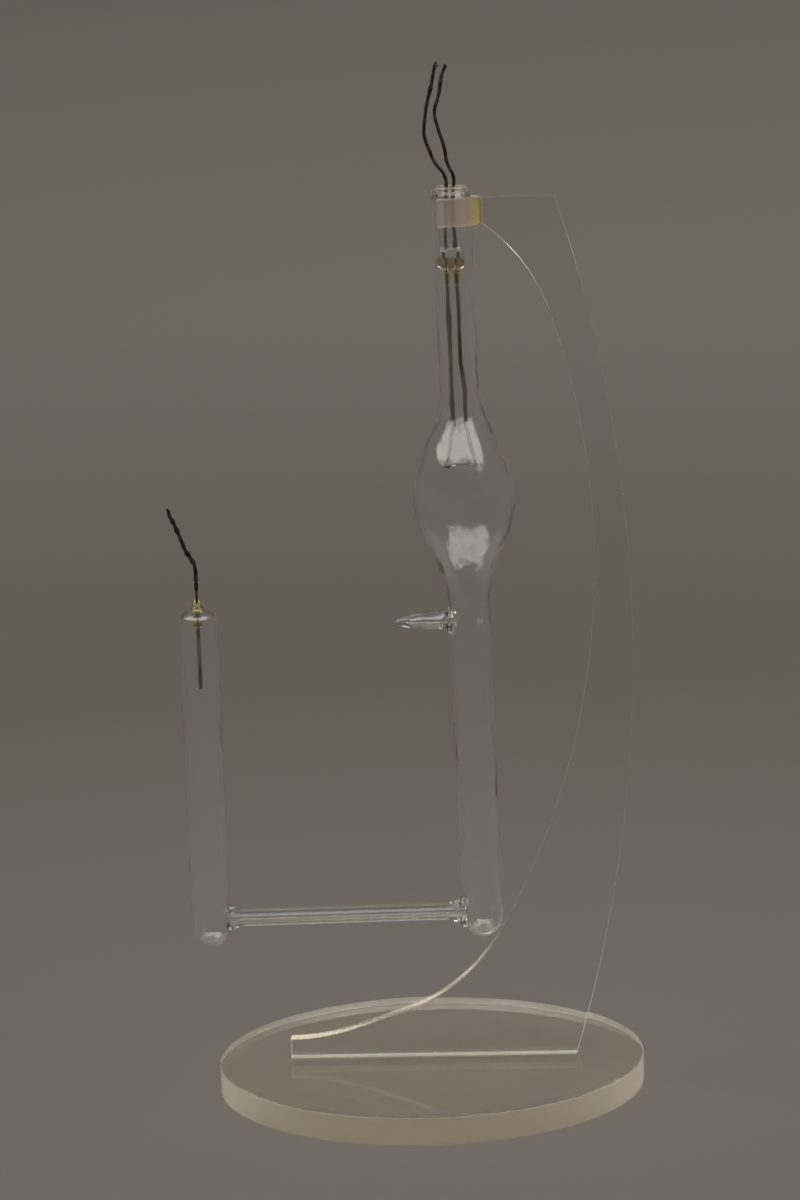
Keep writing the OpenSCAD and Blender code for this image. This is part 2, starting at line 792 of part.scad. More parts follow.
module anode_seal() {
    tip_r = wire_d / 2 + 0.25;
    bore = wire_d / 2 + seal_fit;
    neck = seal_neck_d / 2;
    steps = 8;
    bead_r = bead_d / 2;
    bead_c = bead_z + bead_r * 0.6;
    color([0.74, 0.72, 0.35, 0.8])
        anode_frame()
            difference() {
                union() {
                    rotate_extrude()
                        polygon(concat([[0, anode_top], [seal_d / 2, anode_top]],
                            [for (i = [1:steps])
                                [flare(tip_r, seal_d / 2, seal_h, seal_h * i / steps),
                                 anode_top + seal_h * i / steps]],
                            [[0, anode_top + seal_h]]));
                    upright(0, bead_z, anode_top, 2 * neck);
                    translate([0, 0, bead_c])
                        sphere(r = bead_r);
                }
                upright(0, bead_z - bead_d, anode_top + seal_h + past, 2 * bore);
            }
}

bead_low = bead_z + bead_d / 2 * 0.6 - bead_d / 2;

module anode_lead_in() {
    color([0.3, 0.27, 0.25])
        anode_frame()
            upright(0, bead_low, anode_top + seal_h + anode_bare, wire_d);
}

module anode_rod() {
    color([0.33, 0.31, 0.3])
        anode_frame()
            upright(0, bead_low - anode_rod_len, bead_low, anode_rod_d);
}

module anode_weld_knot() {
    color([0.2, 0.17, 0.14])
        anode_frame()
            knot(0, anode_top + seal_h + anode_bare, anode_knot_d);
}

module anode_lead() {
    start = [0, 0, anode_top + seal_h + anode_bare + knot_len];
    color([0.2, 0.16, 0.1])
        anode_frame()
            sweep(moved(route_anode, start), anode_lead_d, 8, [1, 0, 0]);
}

base_disc();
upright_arm();
foot_cement();
neck_collar();
collar_cement();
cathode_bulb();
cathode_tube();
exhaust_tip();
capillary_tube();
anode_tube();
stem_tube();
stem_pinch();
seal_sleeve(-1);  // seal_sleeve_left
seal_sleeve(1);  // seal_sleeve_right
lead_in(-1);  // lead_in_left
lead_in(1);  // lead_in_right
weld_knot(-1);  // weld_knot_left
weld_knot(1);  // weld_knot_right
support_rod(-1);  // support_rod_left
support_rod(1);  // support_rod_right
filament_clamp(-1);  // filament_clamp_left
filament_clamp(1);  // filament_clamp_right
filament_coil();
cathode_lead(-1, route_left);  // cathode_lead_left
cathode_lead(1, route_right);  // cathode_lead_right
anode_seal();
anode_lead_in();
anode_rod();
anode_weld_knot();
anode_lead();
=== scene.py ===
import json
import math
import bpy
import numpy as np
from mathutils import Matrix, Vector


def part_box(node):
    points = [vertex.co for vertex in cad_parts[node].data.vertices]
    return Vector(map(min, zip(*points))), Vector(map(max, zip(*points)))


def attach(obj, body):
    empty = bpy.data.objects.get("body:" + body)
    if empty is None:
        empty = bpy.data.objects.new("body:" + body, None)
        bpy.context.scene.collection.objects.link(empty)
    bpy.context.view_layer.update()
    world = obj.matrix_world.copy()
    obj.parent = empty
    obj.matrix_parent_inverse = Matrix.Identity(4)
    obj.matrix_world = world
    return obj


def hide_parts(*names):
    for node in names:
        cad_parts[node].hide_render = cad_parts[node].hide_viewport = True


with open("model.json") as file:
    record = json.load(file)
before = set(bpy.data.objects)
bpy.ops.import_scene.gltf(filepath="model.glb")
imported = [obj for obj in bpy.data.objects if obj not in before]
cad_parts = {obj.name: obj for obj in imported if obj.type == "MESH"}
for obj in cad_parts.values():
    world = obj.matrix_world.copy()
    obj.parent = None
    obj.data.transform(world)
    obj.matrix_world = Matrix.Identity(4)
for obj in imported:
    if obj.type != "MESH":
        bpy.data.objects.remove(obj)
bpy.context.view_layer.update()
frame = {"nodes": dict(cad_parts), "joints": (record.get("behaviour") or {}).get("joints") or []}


# camera: where the photograph was taken from, worked out from the disc's ellipse and the uprights
camera = {
    "place": (0.07674, -1.37549, 0.42084),
    "azimuth": 3.43,               # degrees to the right of straight ahead
    "elevation": 10.18,            # degrees above the horizon
    "roll": -1.99,
    "lens": 120.8, "film": 36.0,   # mm, the film by its long side
    "clip": (0.05, 30.0)}


def linkObject(name, data):
    thing = bpy.data.objects.new(name, data)
    bpy.context.collection.objects.link(thing)
    return thing


def makeCamera(c):
    # the three axes of the view: right, up and back, as unit vectors
    az, el, roll = (math.radians(c[k]) for k in ("azimuth", "elevation", "roll"))
    back = np.array([math.sin(az) * math.cos(el), -math.cos(az) * math.cos(el), math.sin(el)])
    right = np.array([math.cos(az), math.sin(az), 0.0])
    up = np.cross(back, right)
    right, up = (right * math.cos(roll) + up * math.sin(roll),
                 up * math.cos(roll) - right * math.sin(roll))
    data = bpy.data.cameras.new("photoCamera")
    data.lens, data.sensor_width = c["lens"], c["film"]
    data.clip_start, data.clip_end = c["clip"]
    cam = linkObject("photoCamera", data)
    place = np.eye(4)
    place[:3] = np.stack([right, up, back, c["place"]], axis=1)
    cam.matrix_world = Matrix(place.tolist())
    bpy.context.scene.camera = cam


makeCamera(camera)
print("camera set")


# frames: the collar's hinge gives the lamp's axis, which leans a little
swivel = next(j for j in frame["joints"] if j["name"] == "lamp_swivel")
collarMid = np.array(swivel["pos_m"], float)
limbUp = np.array(swivel["axis"], float)
limbUp /= np.linalg.norm(limbUp)
away = np.array([0.0, 1.0, 0.0])         # from the camera, square to the arm's sheet
limbOut = np.cross(away, limbUp)         # towards the back edge of the arm

lamp = {
    "rimHeight": 0.00855,     # rim above the collar's middle
    "limbGap": 0.0963,        # between the axes of the two limbs
    "capillaryUp": 0.0092,    # capillary's axis above the foot of the cathode limb
    "anodeLean": 0.7,         # degrees, towards the cathode limb
    "anodeTop": 0.1117,       # top of the anode's dome above the capillary's axis
    "anodeSeal": 0.0036, "anodeBare": 0.0026, "anodeKnot": 0.003,    # heights above that dome
    "stemShift": -0.0009,     # the stem's foot stands off the limb's axis
    "wireGap": 0.0034,        # between the two wires
    "knotTop": 0.0181}        # depth of the cathode's weld knots below the rim

rimTop = collarMid + lamp["rimHeight"] * limbUp
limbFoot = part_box("cathode_tube")[0]
limbLength = (rimTop[2] - limbFoot[2]) / limbUp[2]
capillaryZ = lamp["capillaryUp"] - limbLength
wireX = [lamp["stemShift"] + side * lamp["wireGap"] / 2 for side in (-1, 1)]


def alongLimb(origin, points):
    # x across the limb, y away from the camera, z up along the limb
    p = np.asarray(points, float)
    return origin + p[..., 0:1] * limbOut + p[..., 1:2] * away + p[..., 2:3] * limbUp


def inRim(points):
    return alongLimb(rimTop, points)


def inAnode(points):
    # the anode limb's own frame, with z up from the capillary's axis
    p = np.asarray(points, float)
    a = math.radians(lamp["anodeLean"])
    x = p[..., 0] * math.cos(a) + p[..., 2] * math.sin(a) - lamp["limbGap"]
    z = p[..., 2] * math.cos(a) - p[..., 0] * math.sin(a) + capillaryZ
    return inRim(np.stack([x, p[..., 1], z], axis=-1))


# mesh making: a skin is its points, its four-sided faces and its triangles
def fullTurn(count):
    return np.linspace(0, 2 * math.pi, count, endpoint=False)[None, :]


def roundRings(radius, z, angle):
    x = radius * np.cos(angle)
    return np.stack([x, radius * np.sin(angle), np.broadcast_to(z, x.shape)], axis=-1)


def arcPoints(middle, r, start, stop, count):
    a = np.linspace(start, stop, count)
    return middle + r * np.stack([np.cos(a), np.sin(a)], axis=-1)


def ringGrid(rings):
    # rings[i, j] is point j of ring i; both ends close on their middle point
    n, m = rings.shape[:2]
    i = np.arange(n - 1)[:, None]
    j = np.arange(m)[None, :]
    ahead = (j + 1) % m
    quads = np.stack([i * m + j, i * m + ahead, (i + 1) * m + ahead, (i + 1) * m + j], axis=-1)
    points = np.vstack([rings.reshape(-1, 3), rings[0].mean(axis=0), rings[-1].mean(axis=0)])
    j, ahead, base = j[0], ahead[0], (n - 1) * m
    first = np.stack([np.full(m, n * m), ahead, j], axis=-1)
    last = np.stack([np.full(m, n * m + 1), base + j, base + ahead], axis=-1)
    return points, quads.reshape(-1, 4), np.vstack([first, last])


def signedVolume(points, quads, tris):
    # a sixth of the sum of each triangle's scalar triple product
    t = np.vstack([quads[:, [0, 1, 2]], quads[:, [0, 2, 3]], tris])
    p = points - points.mean(axis=0)
    return np.einsum("ij,ij->i", p[t[:, 0]], np.cross(p[t[:, 1]], p[t[:, 2]])).sum() / 6


def closedSkin(rings):
    # the rings' skin with its faces outwards
    points, quads, tris = ringGrid(rings)
    if signedVolume(points, quads, tris) < 0:
        quads, tris = quads[:, ::-1], tris[:, ::-1]
    return points, quads, tris


def joinSkins(skins):
    points, faces, base = [], [], 0
    for p, quads, tris in skins:
        points.append(p)
        faces += (quads + base).tolist() + (tris + base).tolist()
        base += len(p)
    return np.vstack(points), faces


def makeObject(name, points, faces, materials):
    mesh = bpy.data.meshes.new(name)
    mesh.from_pydata(points.tolist(), [], faces)
    mesh.polygons.foreach_set("use_smooth", np.ones(len(mesh.polygons), bool))
    mesh.update()
    for m in materials:
        mesh.materials.append(m)
    return linkObject(name, mesh)


def dress(piece, body, nodes, sharp=None):
    # sharp is the angle in degrees from which an edge shows as one
    if sharp is not None:
        piece.data.set_sharp_from_angle(angle=math.radians(sharp))
    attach(piece, body)
    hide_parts(*nodes)


def faceMiddles(mesh):
    middle = np.zeros(len(mesh.polygons) * 3, np.float32)
    mesh.polygons.foreach_get("center", middle)
    return middle.reshape(-1, 3)


def paintFaces(mesh, index):
    mesh.polygons.foreach_set("material_index", index.astype(np.int32))
    mesh.update()


# materials
def newMaterial(name):
    m = bpy.data.materials.new(name)
    m.use_nodes = True
    tree = m.node_tree
    return m, tree, tree.nodes["Principled BSDF"], tree.nodes["Material Output"]


def feed(tree, node, inputs):
    # each input, by name or number, takes another node's output or a plain value
    for key, value in inputs.items():
        if isinstance(value, bpy.types.NodeSocket):
            tree.links.new(value, node.inputs[key])
        else:
            node.inputs[key].default_value = value


def addNode(tree, kind, inputs=None, **settings):
    node = tree.nodes.new("ShaderNode" + kind)
    for key, value in settings.items():
        setattr(node, key, value)
    feed(tree, node, inputs or {})
    return node


def mathNode(tree, operation, *values):
    return addNode(tree, "Math", dict(enumerate(values)), operation=operation).outputs[0]


def mapRange(tree, value, start=(0.0, 1.0), end=(0.0, 1.0), kind="LINEAR"):
    # value carried from the start range to the end range, and held at its limits
    node = addNode(tree, "MapRange", {
        "Value": value, "From Min": start[0], "From Max": start[1],
        "To Min": end[0], "To Max": end[1]}, interpolation_type=kind)
    return node.outputs["Result"]


def addRamp(tree, value, tones, kind="LINEAR"):
    # tones are pairs of place and colour
    node = addNode(tree, "ValToRGB", {"Fac": value})
    ramp = node.color_ramp
    ramp.interpolation = kind
    while len(ramp.elements) < len(tones):
        ramp.elements.new(0.5)
    for element, (place, colour) in zip(ramp.elements, tones):
        element.position, element.color = place, colour
    return node.outputs["Color"]


def srgb(r, g, b):
    # 0 to 255 as seen, turned into the linear colour that Blender works in
    c = np.array([r, g, b]) / 255.0
    return tuple(np.where(c <= 0.04045, c / 12.92, ((c + 0.055) / 1.055) ** 2.4)) + (1.0,)


# slow waves of drawn or cast material as a height, with fine handling marks as a mask: the detail
# and roughness of each noise, and the range of the specks over which the marks set in
ripples = {"waves": (3.0, 0.45), "specks": (6.0, 0.7), "marks": (0.56, 0.72)}


def rippleGroup(s):
    g = bpy.data.node_groups.new("surfaceRipple", "ShaderNodeTree")
    for name, way, kind in (("Wave Scale", "INPUT", "Float"), ("Stretch", "INPUT", "Vector"),
                            ("Speck Scale", "INPUT", "Float"), ("Height", "OUTPUT", "Float"),
                            ("Marks", "OUTPUT", "Float")):
        g.interface.new_socket(name, in_out=way, socket_type="NodeSocket" + kind)
    given = g.nodes.new("NodeGroupInput").outputs
    place = addNode(g, "TexCoord").outputs["Object"]
    stretched = addNode(g, "VectorMath", {0: place, 1: given["Stretch"]}, operation="MULTIPLY")
    wave, speck = (
        addNode(g, "TexNoise", {"Vector": vector, "Scale": scale, "Detail": detail,
                                "Roughness": rough}).outputs["Fac"]
        for vector, scale, (detail, rough) in (
            (stretched.outputs[0], given["Wave Scale"], s["waves"]),
            (place, given["Speck Scale"], s["specks"])))
    feed(g, g.nodes.new("NodeGroupOutput"), {
        "Height": wave, "Marks": mapRange(g, speck, s["marks"])})
    return g


ripple = rippleGroup(ripples)


def addRipple(tree, shader, look):
    # the waves as bump and the marks as roughness; gives the waves' height for further use
    made = addNode(tree, "Group", {
        "Wave Scale": look["waveScale"], "Stretch": look["stretch"],
        "Speck Scale": look["speckScale"]}, node_tree=ripple).outputs
    bump = addNode(tree, "Bump", {"Height": made["Height"], "Strength": look["waveStrength"],
                                  "Distance": look["waveHeight"]})
    feed(tree, shader, {
        "Normal": bump.outputs["Normal"],
        "Roughness": mapRange(tree, made["Marks"], end=(look["rough"], look["roughMarks"]))})
    return made["Height"]


def clearMaterial(name, look):
    # clear glass or acrylic; lamps reach what stands behind it, a little dimmed
    m, tree, shader, out = newMaterial(name)
    feed(tree, shader, {"Base Color": look["colour"], "Transmission Weight": look["clear"],
                        "IOR": look["ior"]})
    addRipple(tree, shader, look)
    past = addNode(tree, "BsdfTransparent", {"Color": look["shade"]})
    shadow = addNode(tree, "LightPath").outputs["Is Shadow Ray"]
    mix = addNode(tree, "MixShader", {0: shadow, 1: shader.outputs[0], 2: past.outputs[0]})
    feed(tree, out, {"Surface": mix.outputs[0]})
    return m


def metalMaterial(name, look):
    # drawn wire under an uneven oxide skin: two tones, with the marks rougher
    m, tree, shader, _ = newMaterial(name)
    low, high = look["toneRange"]
    tone = addRamp(tree, addRipple(tree, shader, look),
                   ((low, look["dark"]), (high, look["light"])))
    feed(tree, shader, {"Base Color": tone, "Metallic": look["metal"]})
    return m


lookBlown = {
    "colour": (0.985, 0.99, 0.985, 1), "ior": 1.55, "rough": 0.0, "roughMarks": 0.06,
    "clear": 0.994, "waveScale": 260.0, "stretch": (1, 1, 0.3), "speckScale": 900.0,
    "waveStrength": 0.5, "waveHeight": 0.0003, "shade": (0.95, 0.955, 0.95, 1)}
lookThick = dict(lookBlown, ior=1.47, waveScale=120.0, stretch=(0.1, 1, 1), waveStrength=0.06)
lookPinch = dict(lookBlown, colour=srgb(214, 200, 158), rough=0.1, roughMarks=0.3,
                 waveScale=500.0, stretch=(1, 1, 1), waveStrength=0.6)
# the lip's warm, milky, less clear glass is a painted highlight on the rim
lookLipSheen = dict(lookBlown, colour=srgb(252, 240, 226), clear=0.93, rough=0.05, roughMarks=0.2)
lookSeal = dict(lookBlown, colour=srgb(222, 206, 122), rough=0.03, roughMarks=0.15,
                waveScale=500.0, stretch=(1, 1, 1))
lookPlate = {
    "colour": (0.99, 0.992, 0.988, 1), "ior": 1.49, "rough": 0.0, "roughMarks": 0.05,
    "clear": 1.0, "waveScale": 18.0, "stretch": (1, 1, 1), "speckScale": 1400.0,
    "waveStrength": 0.08, "waveHeight": 0.0004, "shade": (0.93, 0.935, 0.92, 1)}
lookDisc = dict(lookPlate, colour=srgb(247, 244, 234), clear=0.988, rough=0.04, roughMarks=0.12)
lookSawn = dict(lookDisc, colour=srgb(226, 216, 192), clear=0.905, rough=0.35, roughMarks=0.55,
                waveScale=260.0, stretch=(1, 1, 0.15), waveStrength=0.4)
lookCut = dict(lookPlate, colour=srgb(235, 230, 220), clear=0.915, rough=0.22, roughMarks=0.4,
               waveScale=300.0, stretch=(1, 0.15, 1), waveStrength=0.3)
lookCollar = dict(lookPlate, colour=srgb(234, 222, 212), clear=0.925, rough=0.28, roughMarks=0.4,
                  waveScale=120.0, stretch=(1, 1, 0.1), waveStrength=0.12)
lookCement = dict(lookPlate, colour=srgb(236, 222, 152), clear=0.95, rough=0.2, roughMarks=0.4,
                  waveScale=240.0, waveStrength=0.3)
lookFilm = dict(lookPlate, colour=srgb(250, 248, 240), rough=0.3, roughMarks=0.6,
                waveScale=500.0, waveStrength=0.6)

blownGlass = clearMaterial("blownGlass", lookBlown)
thickGlass = clearMaterial("capillaryGlass", lookThick)
pinchGlass = clearMaterial("pressedGlass", lookPinch)
lipSheenGlass = clearMaterial("lipSheenGlass", lookLipSheen)
sealGlass = clearMaterial("sealingGlass", lookSeal)
plateAcrylic = clearMaterial("plateAcrylic", lookPlate)
discAcrylic = clearMaterial("discAcrylic", lookDisc)
sawnAcrylic = clearMaterial("sawnAcrylic", lookSawn)
cutAcrylic = clearMaterial("cutAcrylic", lookCut)
collarAcrylic = clearMaterial("collarAcrylic", lookCollar)
agedCement = clearMaterial("agedCement", lookCement)
filmCement = clearMaterial("filmCement", lookFilm)

lookLeadIn = {
    "metal": 1.0, "dark": srgb(66, 56, 48), "light": srgb(120, 108, 96),
    "toneRange": (0.36, 0.64), "rough": 0.35, "roughMarks": 0.6, "waveScale": 900.0,
    "stretch": (1, 1, 0.2), "speckScale": 2500.0, "waveStrength": 0.3, "waveHeight": 0.00005}
leadIn = metalMaterial("leadInWire", lookLeadIn)
weldMetal = metalMaterial("weldMetal", dict(
    lookLeadIn, metal=0.9, dark=srgb(38, 30, 24), light=srgb(84, 70, 56), rough=0.5,
    roughMarks=0.8, waveScale=1500.0, stretch=(1, 1, 1), waveStrength=0.8, waveHeight=0.0002))
rodMetal = metalMaterial("rodMetal", dict(
    lookLeadIn, metal=0.9, dark=srgb(78, 67, 58), light=srgb(136, 122, 108), rough=0.3,
    roughMarks=0.5, waveScale=600.0, stretch=(1, 1, 0.12), speckScale=2200.0, waveStrength=0.25))
clampMetal = metalMaterial("clampMetal", dict(
    lookLeadIn, metal=0.8, dark=srgb(52, 46, 41), light=srgb(104, 96, 88), rough=0.3,
    roughMarks=0.5, stretch=(1, 1, 1)))
filamentMetal = metalMaterial("filamentMetal", dict(
    lookLeadIn, dark=srgb(120, 116, 112), light=srgb(226, 223, 219), rough=0.15, roughMarks=0.3,
    waveScale=1800.0, stretch=(1, 1, 1), speckScale=3000.0, waveStrength=0.2,
    waveHeight=0.00003))
leadCopper = metalMaterial("leadCopper", dict(
    lookLeadIn, metal=0.6, dark=srgb(34, 29, 24), light=srgb(80, 68, 54), rough=0.4,
    roughMarks=0.7, waveScale=420.0, stretch=(1, 1, 1), waveStrength=0.6, waveHeight=0.0001))
print("materials made")


# free leads: bare stranded wire, twisted like a rope and a little untwisted at the free end
plainWire = {
    "strands": 1, "groove": 0.0, "lobe": 0.7, "twistPitch": 1.0, "swell": 1.0,
    "knead": 0.0, "kneadPitch": 1.0, "kneadDrift": 1.3, "driftPitch": 900, "lumps": [],
    "roundEnd": 0.4, "tip": 0.02}    # ends round off over this share of the diameter, to a tip
cathodeLead = dict(
    plainWire, diameter=0.00105, strands=5, groove=0.24, twistPitch=0.0072, swell=1.18,
    knead=0.06, kneadPitch=0.0051, sides=30, perMetre=6000,
    lumps=[[0.9, 0.25, 0.0012], [0.42, 0.12, 0.0009]],     # place along, height, width in metres
    fray=0.0052, spread=0.0007, unevenSpread=(0.6, 0.3), coreEnd=0.7, strandWidth=0.34,
    strandOut=0.25, fanStart=0.5, fanStep=2.4, shorter=7, strandSides=10)
rightLead = dict(cathodeLead, lumps=[[0.93, 0.2, 0.0012]], fray=0.0032, spread=0.00035)
anodeLead = dict(
    cathodeLead, diameter=0.0012, knead=0.14, kneadPitch=0.0068, spread=0.0003, fray=0.003,
    lumps=[[0.28, 0.25, 0.0008], [0.4, 0.5, 0.001], [0.74, 0.3, 0.0009], [0.88, 0.4, 0.0008]])

# the routes are the CAD part's own, in millimetres from each weld knot's top
routeLeft = [
    [0, 0, 0], [0.2, 0.1, 2.6], [0.5, 0.2, 5.6], [0.6, 0.2, 8.6], [0.8, 0.1, 11.6],
    [0.9, 0, 14.6], [1.1, 0, 17.5], [1.2, 0, 20.1], [0.2, 0, 22.9], [-1.7, 0.2, 25.3],
    [-3.1, 0.3, 27.9], [-4.1, 0.4, 30.7], [-5.1, 0.5, 33.4], [-5.6, 0.5, 36.1],
    [-5.4, 0.5, 38.9], [-5, 0.4, 41.7], [-4.5, 0.3, 44.7], [-3.8, 0.3, 47.7],
    [-2.9, 0.2, 50.7], [-2.1, 0.1, 53.7], [-1.5, 0, 56.5], [-0.9, 0, 58.7], [0.2, 0, 60.2]]
routeRight = [
    [0, 0, 0], [-0.2, -0.1, 2.6], [-0.3, -0.2, 5.6], [-0.4, -0.2, 8.6], [-0.4, -0.2, 11.6],
    [-0.2, -0.1, 14.6], [0.2, 0, 17.5], [0.5, 0, 19.9], [0.1, 0, 22.3], [-1, -0.1, 24.5],
    [-1.8, -0.2, 27.2], [-2.1, -0.3, 30.1], [-2.7, -0.4, 33], [-3.6, -0.4, 36],
    [-4.4, -0.4, 39], [-5, -0.3, 41.8], [-4.9, -0.3, 44.7], [-3.9, -0.2, 47.4],
    [-3.1, -0.1, 50.3], [-2.6, 0, 53.3], [-2, 0, 55.9], [-1.2, 0, 57.8], [-0.5, 0, 59.4]]
routeAnode = [
    [0, 0, 0], [0, 0, 2], [0, -0.3, 4.2], [-0.4, -1, 6.8], [-1.6, -2, 9.4], [-2.9, -3.1, 11.9],
    [-3.7, -4.2, 14.6], [-4.5, -5.3, 17.3], [-5.4, -6.4, 20.1], [-6.3, -7.5, 22.7],
    [-7.2, -8.5, 24.9], [-7.6, -9.8, 27.6]]


def smoothPath(points, count):
    # a Catmull-Rom curve through the points, sampled at equal steps of length
    p = np.vstack([2 * points[0] - points[1], points, 2 * points[-1] - points[-2]])
    t = np.linspace(0, len(points) - 1 - 1e-9, count * 4)
    k = t.astype(int)
    u = (t - k)[:, None]
    a, b, c, d = p[k], p[k + 1], p[k + 2], p[k + 3]
    fine = 0.5 * (2 * b + (c - a) * u + (2 * a - 5 * b + 4 * c - d) * u ** 2
                  + (3 * b - a - 3 * c + d) * u ** 3)
    run = np.concatenate([[0], np.cumsum(np.linalg.norm(np.diff(fine, axis=0), axis=1))])
    even = np.linspace(0, run[-1], count)
    return np.stack([np.interp(even, run, fine[:, i]) for i in range(3)], axis=-1), run[-1]


def pathFrame(path):
    # unit vectors along the path, and vectors to its side that are square to the away axis
    along = np.gradient(path, axis=0)
    along /= np.linalg.norm(along, axis=1)[:, None]
    return along, np.cross(along, away)


def strandedWire(path, length, s):
    # radius = d / 2 * (1 - groove * (1 - |cos(strands / 2 * (angle + turn))| ^ lobe)), where turn
    # goes round once per twistPitch, and the whole swells and thins slowly where it was kneaded
    along, side = pathFrame(path)
    side /= np.linalg.norm(side, axis=1)[:, None]
    front = np.cross(side, along)
    run = np.linspace(0, length, len(path))[:, None]
    angle = fullTurn(s["sides"])
    turn = 2 * math.pi * run / s["twistPitch"]
    cosine = np.abs(np.cos(s["strands"] / 2 * (angle + turn)))
    lobes = 1 - s["groove"] * (1 - cosine ** s["lobe"])
    drift = s["kneadDrift"] * np.sin(run * s["driftPitch"])
    swell = 1 + s["knead"] * np.sin(2 * math.pi * run / s["kneadPitch"] + drift)
    for place, height, width in s["lumps"]:
        swell = swell + height * np.exp(-((run - place * length) / width) ** 2)
    fromEnd = np.minimum(run, length - run) / (s["diameter"] * s["roundEnd"])
    ends = np.sqrt(np.clip(fromEnd, s["tip"], 1))
    r = s["diameter"] / 2 * s["swell"] * lobes * swell * ends
    return (path[:, None, :] + r[..., None] * (np.cos(angle)[..., None] * side[:, None, :]
                                               + np.sin(angle)[..., None] * front[:, None, :]))


def frayedEnds(path, length, s):
    # at the free end the strands part: each follows the wire, and moves out from it by
    # spread * (run / fray) ^ 1.5, about the golden angle further round than the last one;
    # some spread more widely and end a little short
    count = int(s["fray"] / length * len(path))
    tail = path[-count:]
    along, side = pathFrame(tail)
    front = np.cross(side, along)
    u = np.linspace(0, 1, count)[:, None]
    strand = dict(s, diameter=s["diameter"] * s["strandWidth"], groove=0.0,
                  sides=s["strandSides"], lumps=[])
    least, more = s["unevenSpread"]
    skins = []
    for k in range(s["strands"]):
        turn = s["fanStep"] * k + s["fanStart"]
        spread = s["spread"] * (least + more * (k % 3))
        out = s["diameter"] * s["strandOut"] + spread * u ** 1.5
        middle = tail + out * (math.cos(turn) * side + math.sin(turn) * front)
        last = count - (k % 3) * count // s["shorter"]
        skins.append(closedSkin(strandedWire(middle[:last], s["fray"] * last / count, strand)))
    return skins


def makeLead(name, node, route, start, toWorld, s):
    points = toWorld(np.array(route) * 0.001 + np.array(start))
    count = int(np.linalg.norm(np.diff(points, axis=0), axis=1).sum() * s["perMetre"])
    path, length = smoothPath(points, count)
    core = path[:-int(s["coreEnd"] * s["fray"] / length * len(path))]
    skins = [closedSkin(strandedWire(core, length * len(core) / len(path), s))]
    skins += frayedEnds(path, length, s)
    piece = makeObject(name, *joinSkins(skins), [leadCopper])
    dress(piece, "lamp", [node])


anodeKnotTop = sum(lamp[k] for k in ("anodeTop", "anodeSeal", "anodeBare", "anodeKnot"))
makeLead("cathodeLeadLeft", "cathode_lead_left", routeLeft,
         (wireX[0], 0, -lamp["knotTop"]), inRim, cathodeLead)
makeLead("cathodeLeadRight", "cathode_lead_right", routeRight,
         (wireX[1], 0, -lamp["knotTop"]), inRim, rightLead)
makeLead("anodeLead", "anode_lead", routeAnode, (0, 0, anodeKnotTop), inAnode, anodeLead)
print("leads made")


# base disc: polished faces, rim left satin from the saw, edges just broken
disc = {"radius": 0.075, "thick": 0.0095, "edge": 0.0002, "hub": 0.02, "around": 720,
        "saw": 0.00003, "sawTurns": 140, "sawLean": 900, "sawDrift": (2, 5)}


def discRings(s):
    # revolved outline: flat underside, a quarter round, the rim, a quarter round, flat top;
    # the saw's ripple, a sine of angle and height, takes up to saw off the rim's radius
    e, r, t = s["edge"], s["radius"], s["thick"]
    quarter = math.pi / 2
    flat = np.stack([np.linspace(s["hub"], 1, 12) * (r - e), np.zeros(12)], axis=-1)
    low = arcPoints((r - e, e), e, -quarter, 0, 6)[1:]
    rise = np.stack([np.full(5, r), np.linspace(e, t - e, 7)[1:-1]], axis=-1)
    high = arcPoints((r - e, t - e), e, 0, quarter, 6)
    parts = [flat, low, rise, high, flat[-2::-1] + (0, t)]
    profile = np.vstack(parts)
    onRim = np.concatenate([np.full(len(part), part is rise) for part in parts])[:, None]
    angle, z = fullTurn(s["around"]), profile[:, 1:2]
    size, turns = s["sawDrift"]
    wave = np.sin(s["sawTurns"] * angle + z * s["sawLean"] + size * np.sin(turns * angle))
    return roundRings(profile[:, 0:1] - onRim * s["saw"] * (0.5 + 0.5 * wave), z, angle)


def makeDisc(s):
    piece = makeObject("baseDisc", *joinSkins([closedSkin(discRings(s))]),
                       [discAcrylic, sawnAcrylic])
    middle = faceMiddles(piece.data)
    rimStart = s["radius"] - s["edge"] * 1.5
    paintFaces(piece.data, np.linalg.norm(middle[:, :2], axis=1) > rimStart)
    dress(piece, "stand", ["base_disc"], sharp=60)


makeDisc(disc)
print("disc made")


# upright arm: one sheet, cut to four arcs and a ramp on the inside and one long arc at the back
arm = {
    "thick": 0.006, "foot": 0.00965, "height": 0.303, "heelX": 0.0516, "toeX": -0.0498,
    "toeHeight": 0.0069, "topLength": 0.0246, "endHeight": 0.0095, "backBow": 0.0232,
    "waistWidth": 0.0118, "waistUp": 0.0284, "toeRadius": 0.0726, "bendRadius": 0.0638,
    "bendUp": 0.0131, "nearAngle": 28.5, "clearOfTube": 0.00765, "headRadius": 0.0614,
    "edge": 0.00018}


def angleOf(v):
    return math.atan2(v[1], v[0])


